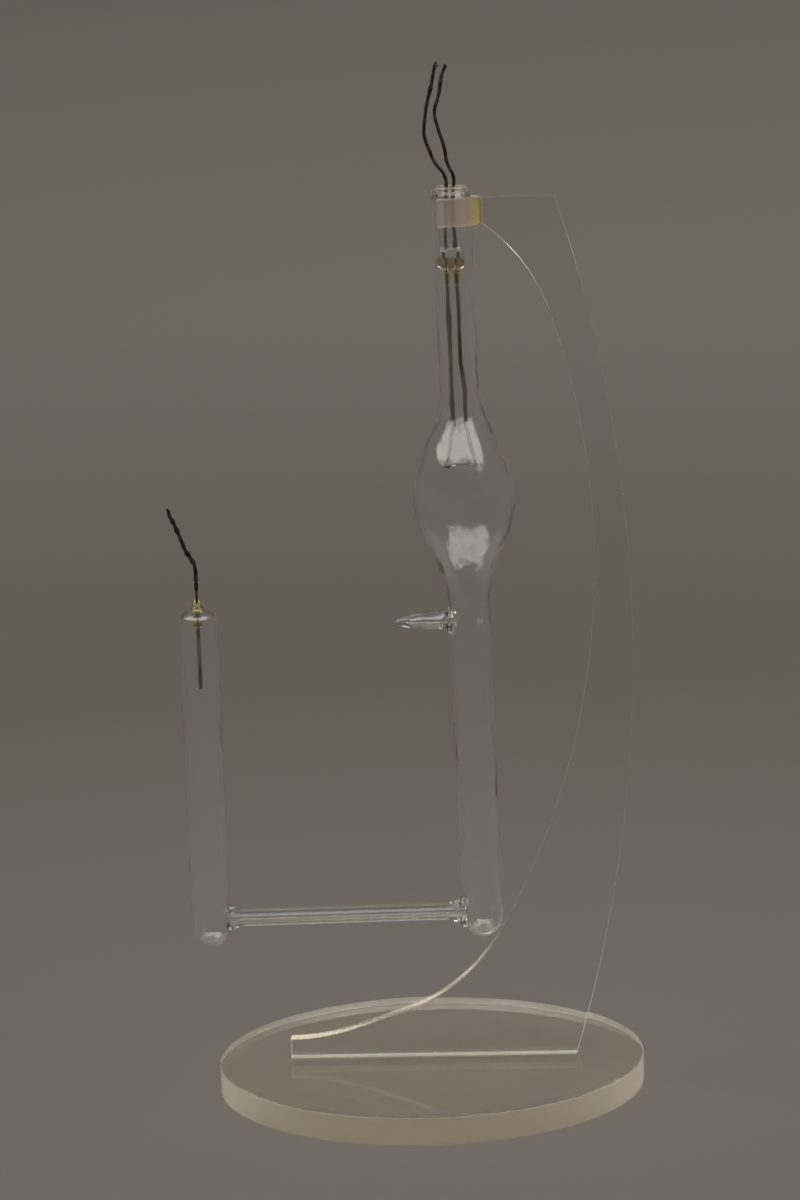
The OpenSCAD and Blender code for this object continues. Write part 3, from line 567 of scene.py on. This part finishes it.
def armOutline(s):
    # x and z of the edge, from the toe's foot to the heel, up the back and down the inner arcs,
    # each arc touching the next
    foot, half, bow = s["foot"], s["height"] / 2, s["backBow"]
    top, midZ = foot + s["height"], foot + half
    tipX = s["heelX"] - s["topLength"]
    tipLow = np.array([tipX, top - s["endHeight"]])
    backR = (half ** 2 + bow ** 2) / (2 * bow)
    backC = np.array([s["heelX"] + bow - backR, midZ])
    waistBack = backC[0] + math.sqrt(backR ** 2 - s["waistUp"] ** 2)
    waist = np.array([waistBack - s["waistWidth"], midZ + s["waistUp"]])
    bR, hR, tR = s["bendRadius"], s["headRadius"], s["toeRadius"]
    toeC = np.array([s["toeX"], foot + s["toeHeight"] + tR])
    # the lower bend clears the limb's round foot, whose middle lies on the limb's axis
    near, reach = math.radians(s["nearAngle"]), bR - s["clearOfTube"]
    bendZ = foot + s["bendUp"] + bR
    footRun = (rimTop[2] - bendZ + reach * math.sin(near)) / limbUp[2]
    bendC = np.array([rimTop[0] - footRun * limbUp[0] - reach * math.cos(near), bendZ])
    toBend = bendC - toeC
    ramp = angleOf(toBend) + math.asin((tR - bR) / np.linalg.norm(toBend))
    # the waist's arc passes through the waist and touches the bend
    run = waist - bendC
    wR = (run @ run - bR * bR) / (2 * (run[0] - bR))
    waistC = waist - [wR, 0]
    # the head's arc touches the waist's and ends at the tip: two circles' crossing gives its middle
    k, toTip = wR - hR, tipLow - waistC
    d = np.linalg.norm(toTip)
    u = toTip / d
    part = (k * k - hR * hR + d * d) / (2 * d)
    headC = waistC + part * u + math.sqrt(k * k - part * part) * np.array([u[1], -u[0]])
    bend, head = angleOf(bendC - waistC), angleOf(headC - waistC)
    backLow = math.asin((foot - midZ) / backR)
    return np.vstack([
        [[s["toeX"], foot]],
        arcPoints(backC, backR, backLow, -backLow, 150),
        [[tipX, top]],
        arcPoints(headC, hR, angleOf(tipLow - headC), head, 60),
        arcPoints(waistC, wR, head, bend, 160)[1:],
        arcPoints(bendC, bR, bend, ramp - math.pi / 2, 60)[1:],
        arcPoints(toeC, tR, ramp - math.pi / 2, -math.pi / 2, 40)])


def plateRings(outline, thick, edge):
    # the outline carried across the sheet; at each face it draws in along its own normal
    # by a quarter round of the edge's size
    ahead = np.roll(outline, -1, axis=0) - outline
    ahead /= np.linalg.norm(ahead, axis=1)[:, None]
    behind = np.roll(ahead, 1, axis=0)
    nA = np.stack([ahead[:, 1], -ahead[:, 0]], axis=-1)
    nB = np.stack([behind[:, 1], -behind[:, 0]], axis=-1)
    mitre = (nA + nB) / (1 + (nA * nB).sum(axis=1))[:, None]
    q = np.linspace(0, math.pi / 2, 4)
    drawn, across = edge * (1 - np.sin(q)), thick / 2 - edge * (1 - np.cos(q))
    drawn = np.concatenate([drawn, drawn[::-1]])
    y = np.concatenate([-across, across[::-1]])
    flat = outline[None, :, :] - drawn[:, None, None] * mitre[None, :, :]
    y = np.broadcast_to(y[:, None], flat.shape[:2])
    return np.stack([flat[..., 0], y, flat[..., 1]], axis=-1)


def makeArm(s):
    # each flat face is a single many-sided face, cut into triangles by Blender
    rings = plateRings(armOutline(s), s["thick"], s["edge"])
    n, m = rings.shape[:2]
    points, quads, _ = closedSkin(rings)
    turned = quads[0, 0] != 0              # the skin was turned to face outwards
    low, high = np.arange(m)[::-1].tolist(), np.arange((n - 1) * m, n * m).tolist()
    caps = [low[::-1], high[::-1]] if turned else [low, high]
    piece = makeObject("uprightArm", points[:n * m], quads.tolist() + caps,
                       [plateAcrylic, cutAcrylic])
    paintFaces(piece.data, np.arange(len(piece.data.polygons)) < len(quads))
    dress(piece, "stand", ["upright_arm"], sharp=8)


makeArm(arm)
print("arm made")


# split collar: a C of turned tube with satin faces
collar = {"outer": 0.0095, "inner": 0.00685, "height": 0.0095, "jaw": 0.0046, "edge": 0.00035,
          "around": 120}


def roundedBox(width, height, edge, across, along):
    # outline of a rectangle with rounded corners, anticlockwise from its lower left
    x, z = np.linspace(edge, width - edge, across), np.linspace(edge, height - edge, along)
    sides = [np.stack([x, 0 * x], axis=-1), np.stack([0 * z + width, z], axis=-1),
             np.stack([x[::-1], 0 * x + height], axis=-1), np.stack([0 * z, z[::-1]], axis=-1)]
    corners = ((width - edge, edge), (width - edge, height - edge), (edge, height - edge),
               (edge, edge))
    runs = []
    for k in range(4):
        turn = (k - 1) * math.pi / 2
        runs += [sides[k], arcPoints(corners[k], edge, turn, turn + math.pi / 2, 5)[1:-1]]
    return np.vstack(runs)


def collarRings(s):
    # a rounded rectangle of wall by height, carried round the axis between the two jaws;
    # the outer arc reaches further round than the inner, so that both jaws are cut square
    section = roundedBox(s["outer"] - s["inner"], s["height"], s["edge"], 8, 10)
    r, z = s["inner"] + section[:, 0], section[:, 1] - s["height"] / 2
    turn = np.linspace(-1, 1, s["around"])[:, None] * np.arccos(-s["jaw"] / r)[None, :]
    return alongLimb(collarMid, roundRings(r, z, turn))


neckCollar = makeObject("neckCollar", *joinSkins([closedSkin(collarRings(collar))]),
                        [collarAcrylic])
dress(neckCollar, "stand", ["neck_collar"], sharp=40)
print("collar made")


# the lamp's glass, all radii and heights in the rim's frame
glass = {
    "neck": 0.0068, "wall": 0.0009, "neckLength": 0.070, "bulb": 0.0175, "bulbUp": 0.039,
    "bulbDown": 0.0354, "fullness": 1.15, "tube": 0.0072, "around": 96,
    "stemRadius": 0.00435, "stemWall": 0.00075, "stemLength": 0.0243, "stemFloor": 0.0016,
    "floorDip": 0.0021, "flareLength": 0.0095, "lip": 0.00085, "sheenLips": 2.4,
    "hollowStart": 0.085, "hollowLips": 2.2, "hollowBow": 0.0006,    # hollow's top under the lip
    "rings": (24, 124, 40), "wave": 0.00006, "insidePhase": 1.9, "calm": 0.2}

# the blown waves: size, times round, radians a metre of height, start, share of the phase
blownWaves = [(1.0, 3, 90, 0, 1), (0.6, 5, -210, 1, 2), (0.5, 2, 340, 2, -1),
              (0.3, 13, 260, 0, 3), (0.22, 8, -900, 0, -1)]


def bell(u):
    return (1 + np.cos(math.pi * np.clip(u, 0, 1))) / 2


def limbRadius(z, s):
    # a straight neck, a bulb whose two halves are cosine bells, then a straight tube;
    # the upper half is blown a little fuller, by a power of the height
    peak = -s["neckLength"] - s["bulbUp"]
    rise = np.clip((z - peak) / s["bulbUp"], 0, 1) ** s["fullness"]
    upper = s["neck"] + (s["bulb"] - s["neck"]) * bell(rise)
    lower = s["tube"] + (s["bulb"] - s["tube"]) * bell((peak - z) / s["bulbDown"])
    return np.where(z > peak, upper, lower)


def blownWave(r, z, angle, wave, phase=0.0):
    # the blower's turning leaves long low waves and some finer ones, calm near the axis: sines of
    # angle and height, set apart by the phase on the inside, so the wall is uneven
    swell = sum(size * np.sin(times * angle + rate * z + start + share * phase)
                for size, times, rate, start, share in blownWaves)
    return r + wave * swell * np.clip(r / glass["neck"] - glass["calm"], 0, 1) ** 2


def footProfile(r, bottom, steps):
    # a quarter circle from the wall in to the pole, without its two ends
    a = np.linspace(0, math.pi / 2, steps)[1:-1]
    return np.stack([r * np.cos(a), bottom + r - r * np.sin(a)], axis=-1)


def funnelRadius(depth, r, s):
    # depth below the lip's centre: r + swell * (1 - depth / flare) cubed
    swell = s["neck"] - s["lip"] + s["stemWall"] / 2 - s["stemRadius"]
    return r + swell * np.clip(1 - depth / (s["flareLength"] - s["lip"]), 0, 1) ** 3


def wallProfile(top, inset, s):
    # few rings on the straight runs and many round the bulb
    shoulder = -s["neckLength"]
    end = shoulder - s["bulbUp"] - s["bulbDown"]
    neckRings, bulbRings, tubeRings = s["rings"]
    z = np.concatenate([np.linspace(top, shoulder, neckRings)[:-1],
                        np.linspace(shoulder, end, bulbRings)[:-1],
                        np.linspace(end, s["tube"] - limbLength, tubeRings)])
    return np.stack([limbRadius(z, s) - inset, z], axis=-1)


def outerProfile(s):
    # foot, tube, bulb, neck and over the lip; then down the funnel to the stem's floor
    lip, lipX, run = s["lip"], s["neck"] - s["lip"], s["stemLength"] - s["lip"]
    foot = footProfile(s["tube"], -limbLength, 20)
    over = arcPoints((lipX, -lip), lip, 0, math.pi, 17)[1:-1]
    limb = np.vstack([foot[::-1], wallProfile(-lip, 0, s)[::-1], over])
    inside = s["stemRadius"] - s["stemWall"]
    depth = np.linspace(0.0, 1, 40)[1:] ** 1.1 * (run - s["stemFloor"] - s["floorDip"])
    funnel = funnelRadius(depth, inside, s)
    lipInner = lipX - np.sqrt(np.clip(lip ** 2 - depth ** 2, 0, None))
    funnel = np.where(depth < lip, np.minimum(funnel, lipInner), funnel)
    bowl = np.linspace(0, math.pi / 2, 16)[1:-1]
    floor = np.stack([inside * np.cos(bowl), -lip - depth[-1] - s["floorDip"] * np.sin(bowl)],
                     axis=-1)
    return limb, np.vstack([np.stack([funnel, -lip - depth], axis=-1), floor])


def hollowProfile(s):
    # the stem's underside and outside; then under the lip, down the neck, bulb and round foot
    lip, run = s["lip"], s["stemLength"] - s["lip"]
    depth = np.linspace(1, s["hollowStart"], 40) * run
    side = np.stack([funnelRadius(depth, s["stemRadius"], s), -lip - depth], axis=-1)
    under = np.stack([s["stemRadius"] * np.linspace(0, 1, 12)[1:-1], np.full(10, -lip - run)],
                     axis=-1)
    top = -lip * s["hollowLips"]
    turn = np.linspace(0, 1, 9)[1:-1, None]
    bridge = (1 - turn) * side[-1] + turn * np.array([s["neck"] - s["wall"], top])
    bridge[:, 1] += s["hollowBow"] * np.sin(math.pi * turn[:, 0])
    foot = footProfile(s["tube"] - s["wall"], -limbLength + s["wall"], 20)
    return np.vstack([under, side]), np.vstack([bridge, wallProfile(top, s["wall"], s), foot])


def limbSkins(s):
    # the limb is waved by the blowing, and the stem leans over to one side as it goes down
    angle, run = fullTurn(s["around"]), s["stemLength"] - s["lip"]
    limb, stem = outerProfile(s)
    hollowStem, hollowLimb = hollowProfile(s)
    limbFirst = np.arange(len(limb) + len(stem)) < len(limb)
    limbLast = np.arange(len(hollowStem) + len(hollowLimb)) >= len(hollowStem)
    skins = []
    for profile, onLimb, phase in (
            (np.vstack([limb, stem]), limbFirst, 0.0),
            (np.vstack([hollowStem, hollowLimb]), limbLast, s["insidePhase"])):
        r, z, onLimb = profile[:, 0:1], profile[:, 1:2], onLimb[:, None]
        lean = np.where(onLimb, 0, np.clip((-s["lip"] - z) / run, 0, 1)) * lamp["stemShift"]
        radius = np.where(onLimb, blownWave(r, z, angle, s["wave"], phase), r)
        rings = roundRings(radius, z, angle)
        rings[..., 0] += lean
        skins.append(closedSkin(inRim(rings)))
    return skins


# anode limb: round foot, straight wall, shallow dome
anode = {"radius": 0.00685, "wall": 0.0011, "low": -0.0104, "dome": 0.004, "wave": 0.00003,
         "around": 80, "rings": 48}


def anodeSkins(s):
    angle = fullTurn(s["around"])
    domeZ = lamp["anodeTop"] - s["dome"]
    skins = []
    for inset in (0.0, s["wall"]):
        r, bottom, rise = s["radius"] - inset, s["low"] + inset, s["dome"] - inset
        heights = np.linspace(bottom + r, domeZ, s["rings"])
        wall = np.stack([0 * heights + r, heights], axis=-1)
        a = np.linspace(0, math.pi / 2, 16)[1:-1]
        dome = np.stack([r * np.cos(a), domeZ + rise * np.sin(a)], axis=-1)
        profile = np.vstack([footProfile(r, bottom, 18)[::-1], wall, dome])
        r, z = profile[:, 0:1], profile[:, 1:2]
        rings = roundRings(blownWave(r, z, angle, s["wave"]), z, angle)
        skins.append(closedSkin(inAnode(rings)))
    return skins


# capillary: a thick wall with a narrow bore, flared onto each limb; each root is its half width
# across and along the limb
capillary = {
    "radius": 0.0031, "bore": 0.0015, "mouth": (0.0024, 0.0024), "roundness": 1.7,
    "cathodeRoot": (0.0047, 0.0058), "cathodeRun": 0.0056,
    "anodeRoot": (0.0042, 0.0049), "anodeRun": 0.0045,
    "sunk": 0.0024, "boreSunk": 0.0040,       # how far each reaches into the limbs
    "rings": (26, 14, 24)}
barAround = 72


def sideBar(x, wide, high, z):
    # rings at distance x from the cathode limb's axis, towards the anode limb
    angle = fullTurn(barAround)
    y = wide * np.cos(angle)
    x = np.broadcast_to(-x[:, None], y.shape)
    return inRim(np.stack([x, y, z + high * np.sin(angle)], axis=-1))


def rootSwell(beyond, power):
    # 1 at the limb's wall and 0 at the end of the root: 1 - (1 - (1 - beyond) ^ p) ^ (1 / p),
    # which leaves the wall square and meets the bar smoothly
    left = np.clip(1 - beyond, 0, 1)
    return 1 - (1 - left ** power) ** (1 / power)


def capillarySkins(s):
    # radius along the run: r + (root - r) * rootSwell near either limb, for the outside and for
    # the bore; both reach into the limbs, whose hollows cut them off
    near, far = glass["tube"], lamp["limbGap"] - anode["radius"]
    nearEnd, farStart = near + s["cathodeRun"], far - s["anodeRun"]
    skins = []
    for r, a, b, sunk in ((s["radius"], s["cathodeRoot"], s["anodeRoot"], s["sunk"]),
                          (s["bore"], s["mouth"], s["mouth"], s["boreSunk"])):
        x = np.concatenate([[near - sunk], np.linspace(near, nearEnd, s["rings"][0]),
                            np.linspace(nearEnd, farStart, s["rings"][1])[1:],
                            np.linspace(farStart, far, s["rings"][2])[1:], [far + sunk]])
        toNear = rootSwell((x - near) / s["cathodeRun"], s["roundness"])[:, None]
        toFar = rootSwell((far - x) / s["anodeRun"], s["roundness"])[:, None]
        wide, high = (r + (a[i] - r) * toNear + (b[i] - r) * toFar for i in (0, 1))
        skins.append(closedSkin(sideBar(x, wide, high, capillaryZ)))
    return skins


# exhaust tip: drawn off to a point and melted shut
tip = {"radius": 0.00285, "root": 0.0047, "rootLength": 0.004, "length": 0.0191, "taper": 2.4,
       "wall": 0.0009, "sealed": 0.0045, "drop": 0.0061, "sunk": 0.0022, "boreSunk": 0.0040,
       "uneven": 0.03, "unevenFrom": 0.002, "unevenTwist": 900, "rings": 40}


def tipSkins(s):
    # radius at distance d: r * sqrt(1 - (d / length) ^ taper), flared at the root as the square
    # of what is left of the root's length; the bore ends short of the point
    z = -glass["neckLength"] - glass["bulbUp"] - glass["bulbDown"] - s["drop"]
    bore = s["radius"] - s["wall"]
    skins = []
    for r0, root, length, sunk in ((s["radius"], s["root"], s["length"], s["sunk"]),
                                   (bore, bore, s["length"] - s["sealed"], s["boreSunk"])):
        u = np.linspace(0, 1, s["rings"])[:-1]
        d = np.concatenate([[-sunk], length * (1 - (1 - u) ** 2)])[:, None]
        ahead = np.clip(d, 0, None)
        flare = (root - r0) * np.clip(1 - ahead / s["rootLength"], 0, 1) ** 2
        r = r0 * np.sqrt(1 - (ahead / length) ** s["taper"]) + flare
        uneven = s["uneven"] * np.sin(3 * fullTurn(barAround) + s["unevenTwist"] * d)
        r = r * (1 + uneven * (d > s["unevenFrom"]))
        skins.append(closedSkin(sideBar(glass["tube"] + d[:, 0], r, r, z)))
    return skins


# pinch: the stem's foot pressed flat over the wires while hot
pinch = {"halfWidth": 0.0048, "halfThick": 0.00205, "top": -0.0229, "bottom": -0.0289,
         "square": 3.2, "shoulder": 2.6, "cutEnds": 0.12, "rings": 28, "around": 64}


def pinchSkin(s):
    # |x / w| ^ square + |y / t| ^ 2 = 1 round each ring; along the height w and t follow
    # (1 - |h| ^ shoulder) ^ (1 / shoulder), with h from -1 at the foot to 1 at the top
    h = -np.cos(np.linspace(s["cutEnds"], math.pi - s["cutEnds"], s["rings"]))[:, None]
    angle = fullTurn(s["around"])
    size = (1 - np.abs(h) ** s["shoulder"]) ** (1 / s["shoulder"])
    cosine = np.cos(angle)
    x = s["halfWidth"] * size * np.sign(cosine) * np.abs(cosine) ** (2 / s["square"])
    y = s["halfThick"] * size * np.sin(angle)
    z = (s["top"] + s["bottom"]) / 2 + h * (s["top"] - s["bottom"]) / 2
    return closedSkin(inRim(np.stack([x + lamp["stemShift"], y, z + 0 * x], axis=-1)))


# holes for the wires that the glass is sealed round
holes = {"domeRadius": 0.00111, "domeBelow": 0.006, "domeAbove": 0.001,
         "wireRadius": 0.00046, "wireBelow": 0.0066, "wireAbove": 0.0045}


def uprightBar(x, low, high, r):
    z = low + np.linspace(0, 1, 3)[:, None] * (high - low)
    rings = roundRings(np.full((3, 1), r), z, fullTurn(48))
    rings[..., 0] += x
    return rings


def fuseGlass(name, first, steps):
    # one glass body: each step melts a skin on or takes it out, in order, and the faces that
    # a skin leaves keep its material
    body = makeObject(name, *joinSkins([first[0]]), [first[1]])
    tools = []
    for operation, skin, material in steps:
        tool = makeObject("tool", *joinSkins([skin]), [material])
        step = body.modifiers.new("fuse", "BOOLEAN")
        step.operation, step.solver, step.object = operation, "MANIFOLD", tool
        step.material_mode = "TRANSFER"
        tools.append(tool)
    graph = bpy.context.evaluated_depsgraph_get()
    mesh = bpy.data.meshes.new_from_object(body.evaluated_get(graph))
    body.modifiers.clear()
    body.data = mesh
    for tool in tools:
        bpy.data.objects.remove(tool)
    mesh.name = name
    return body


def markLip(mesh, depth):
    # the faces within this depth of the rim get a warm, milky glass, a painted highlight on the lip
    index = np.zeros(len(mesh.polygons), np.int32)
    mesh.polygons.foreach_get("material_index", index)
    index[(faceMiddles(mesh) - rimTop) @ limbUp > -depth] = len(mesh.materials)
    mesh.materials.append(lipSheenGlass)
    paintFaces(mesh, index)


limbOuter, limbHollow = limbSkins(glass)
anodeOuter, anodeHollow = anodeSkins(anode)
capOuter, capBore = capillarySkins(capillary)
tipOuter, tipBore = tipSkins(tip)
domeHole = closedSkin(inAnode(uprightBar(
    0, lamp["anodeTop"] - holes["domeBelow"], lamp["anodeTop"] + holes["domeAbove"],
    holes["domeRadius"])))
wireHoles = [closedSkin(inRim(uprightBar(
    x, -glass["stemLength"] - holes["wireBelow"], holes["wireAbove"] - glass["stemLength"],
    holes["wireRadius"]))) for x in wireX]
envelope = fuseGlass("glassEnvelope", (limbOuter, blownGlass), [
    ("UNION", anodeOuter, blownGlass), ("UNION", capOuter, thickGlass),
    ("UNION", tipOuter, blownGlass), ("DIFFERENCE", limbHollow, blownGlass),
    ("DIFFERENCE", anodeHollow, blownGlass), ("DIFFERENCE", capBore, thickGlass),
    ("DIFFERENCE", tipBore, blownGlass), ("DIFFERENCE", domeHole, blownGlass),
    ("UNION", pinchSkin(pinch), pinchGlass)]
    + [("DIFFERENCE", hole, pinchGlass) for hole in wireHoles])
# the rim's top faces get the lip's painted highlight
markLip(envelope.data, glass["sheenLips"] * glass["lip"])
dress(envelope, "lamp", ["cathode_bulb", "cathode_tube", "stem_tube", "exhaust_tip",
                         "capillary_tube", "anode_tube", "stem_pinch"], sharp=38)
print("glass made,", len(envelope.data.polygons), "faces")


# filament: tails from the clamps, then open turns that bow upwards a little
filament = {"radius": 0.00075, "diameter": 0.0004, "pitch": 0.0009, "turns": 5, "shift": 0.0002,
            "arch": 0.0003, "tails": (-0.0045, 0.0036), "tailBend": 0.4, "below": 0.00015,
            "perTurn": 16, "sides": 14, "rings": 700}


def filamentPath(s):
    # round the axis across the limb: y = -r sin, z = -r cos + arch * (1 - (x / half) ^ 2);
    # the coil's middle lies a little below its CAD node's
    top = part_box("filament_coil")[1][2]
    middle = (top - s["radius"] - s["below"] - rimTop[2]) / limbUp[2]
    half = s["turns"] * s["pitch"] / 2
    turn = np.linspace(0, s["turns"], s["turns"] * s["perTurn"] + 1)
    x = turn * s["pitch"] - half
    y = -s["radius"] * np.sin(2 * math.pi * turn)
    z = -s["radius"] * np.cos(2 * math.pi * turn) + s["arch"] * (1 - (x / half) ** 2)
    coil = np.stack([s["shift"] + x, y, z], axis=-1)
    (first, last), bend = s["tails"], s["tailBend"]
    tails = [[at, 0, -s["radius"]] for at in (
        first, (1 - bend) * first - bend * half, (1 - bend) * last + bend * half, last)]
    return inRim(np.vstack([tails[:2], coil, tails[2:]]) + np.array([0, 0, middle]))


def makeFilament(s):
    path, length = smoothPath(filamentPath(s), s["rings"])
    skin = closedSkin(strandedWire(path, length, dict(plainWire, **s)))
    piece = makeObject("filamentCoil", *joinSkins([skin]), [filamentMetal])
    dress(piece, "lamp", ["filament_coil"])


makeFilament(filament)
print("filament made")


# metal parts, seals and cement keep their CAD shape and get their finishes
finishes = {
    "foot_cement": filmCement, "collar_cement": agedCement,
    "seal_sleeve_left": sealGlass, "seal_sleeve_right": sealGlass, "anode_seal": sealGlass,
    "lead_in_left": leadIn, "lead_in_right": leadIn, "anode_lead_in": leadIn,
    "weld_knot_left": weldMetal, "weld_knot_right": weldMetal, "anode_weld_knot": weldMetal,
    "support_rod_left": rodMetal, "support_rod_right": rodMetal, "anode_rod": rodMetal,
    "filament_clamp_left": clampMetal, "filament_clamp_right": clampMetal}
for node, material in finishes.items():
    mesh = frame["nodes"][node].data
    mesh.materials.clear()
    mesh.materials.append(material)
print("finishes set")


# stage: a round floor that sweeps up into a low wall all about, so every view has the same ground
stage = {
    # the tones paint the paper lighter and darker with distance from the middle: painted shade
    # standing in for the fall of light over the floor and up the wall
    "tones": ((0.02, srgb(112, 106, 101)), (0.2, srgb(98, 93, 86)),    # by distance over reach
              (0.55, srgb(108, 103, 97)), (0.85, srgb(90, 85, 79))),
    "reach": 4.0, "below": 0.0003, "flat": 2.0, "sweep": 1.5, "top": 2.0, "around": 96,
    # the edge band's brightness and the room's darkness are painted into the paper for mirror rays
    # only: a painted reflection and painted shade
    "edge": -0.565, "edgeBand": 0.055, "edgeSoft": 0.006, "paintedEdgeReflection": 1.3, "paintedRoomShade": 0.8}


def paperMaterial(s):
    m, tree, shader, _ = newMaterial("studioPaper")
    place = addNode(tree, "TexCoord").outputs["Object"]
    span = addNode(tree, "VectorMath", {0: place}, operation="LENGTH").outputs["Value"]
    # painted shade: the paper's tone set by distance
    tone = addRamp(tree, mapRange(tree, span, (0.0, s["reach"])), s["tones"], "EASE")
    # painted reflection: for mirror rays only, the paper is painted brighter in a band, like the
    # pale edge of a table, and painted darker beyond it, like a dim room
    y = addNode(tree, "SeparateXYZ", {0: place}).outputs["Y"]
    start = s["edge"] - s["edgeBand"]
    past = mapRange(tree, y, (start, start + s["edgeSoft"]), (s["paintedRoomShade"], s["paintedEdgeReflection"]),
                    "SMOOTHSTEP")
    on = mapRange(tree, y, (s["edge"], s["edge"] + s["edgeSoft"]), kind="SMOOTHSTEP")
    paintedMirrorLevel = addNode(tree, "Mix", {0: on, 2: past, 3: 1.0}, data_type="FLOAT").outputs[0]
    path = addNode(tree, "LightPath").outputs
    bounced = mathNode(tree, "MINIMUM", path["Glossy Depth"], 1.0)    # 1 once it was mirrored
    mirrored = mathNode(tree, "MULTIPLY", bounced, path["Is Glossy Ray"])
    seen = addNode(tree, "Mix", {0: mirrored, 2: 1.0, 3: paintedMirrorLevel}, data_type="FLOAT").outputs[0]
    scaled = addNode(tree, "VectorMath", {0: tone, "Scale": seen}, operation="SCALE")
    feed(tree, shader, {"Base Color": scaled.outputs[0], "Roughness": 0.9,
                        "Specular IOR Level": 0.2})
    return m


def makeStage(s):
    # profile of radius and height: flat floor, a quarter round, then the wall
    floor = np.stack([np.linspace(0.1, s["flat"], 20), np.full(20, -s["below"])], axis=-1)
    bend = arcPoints((s["flat"], s["sweep"] - s["below"]), s["sweep"], -math.pi / 2, 0, 24)[1:]
    line = np.vstack([floor, bend, [[s["flat"] + s["sweep"], s["top"]]]])
    rings = roundRings(line[:, 0:1], line[:, 1:2], fullTurn(s["around"]))
    points, quads, tris = ringGrid(rings)
    floorMiddle = tris[:s["around"]]
    makeObject("studioSweep", points, quads.tolist() + floorMiddle.tolist(),
                        [paperMaterial(s)])


# light: one broad soft panel high on the camera's side, with a dim even room round it;
# each range is of the unit direction's x, y or z, from fully dark to fully lit, and the panel
# hangs lower towards its sides
light = {
    "left": (-0.95, -0.90), "right": (0.80, 0.74), "front": (0.16, 0.08), "droop": 0.22,
    "low": (0.565, 0.605), "high": (0.98, 0.86), "room": 0.13, "panel": 2.85,
    "colour": (1.0, 0.975, 0.95, 1)}


def makeWorld(s):
    world = bpy.data.worlds.new("studioWorld")
    bpy.context.scene.world = world
    world.use_nodes = True
    tree = world.node_tree
    way = addNode(tree, "TexCoord").outputs["Generated"]
    x, y, z = addNode(tree, "SeparateXYZ", {0: way}).outputs
    square = mathNode(tree, "POWER", x, 2.0)
    lifted = mathNode(tree, "MULTIPLY_ADD", square, s["droop"], z)    # z + droop * x squared
    lit = 1.0
    for side, part in (("left", x), ("right", x), ("front", y), ("low", lifted), ("high", z)):
        lit = mathNode(tree, "MULTIPLY", lit, mapRange(tree, part, s[side], kind="SMOOTHSTEP"))
    feed(tree, tree.nodes["Background"], {
        "Strength": mapRange(tree, lit, end=(s["room"], s["panel"])), "Color": s["colour"]})


makeStage(stage)
makeWorld(light)
scene = bpy.context.scene
scene.view_settings.view_transform = "Standard"
scene.cycles.max_bounces = 24          # glass inside glass needs many turns of the light
scene.cycles.transmission_bounces = 24
scene.cycles.glossy_bounces = 12
scene.cycles.transparent_max_bounces = 24
print("stage set")
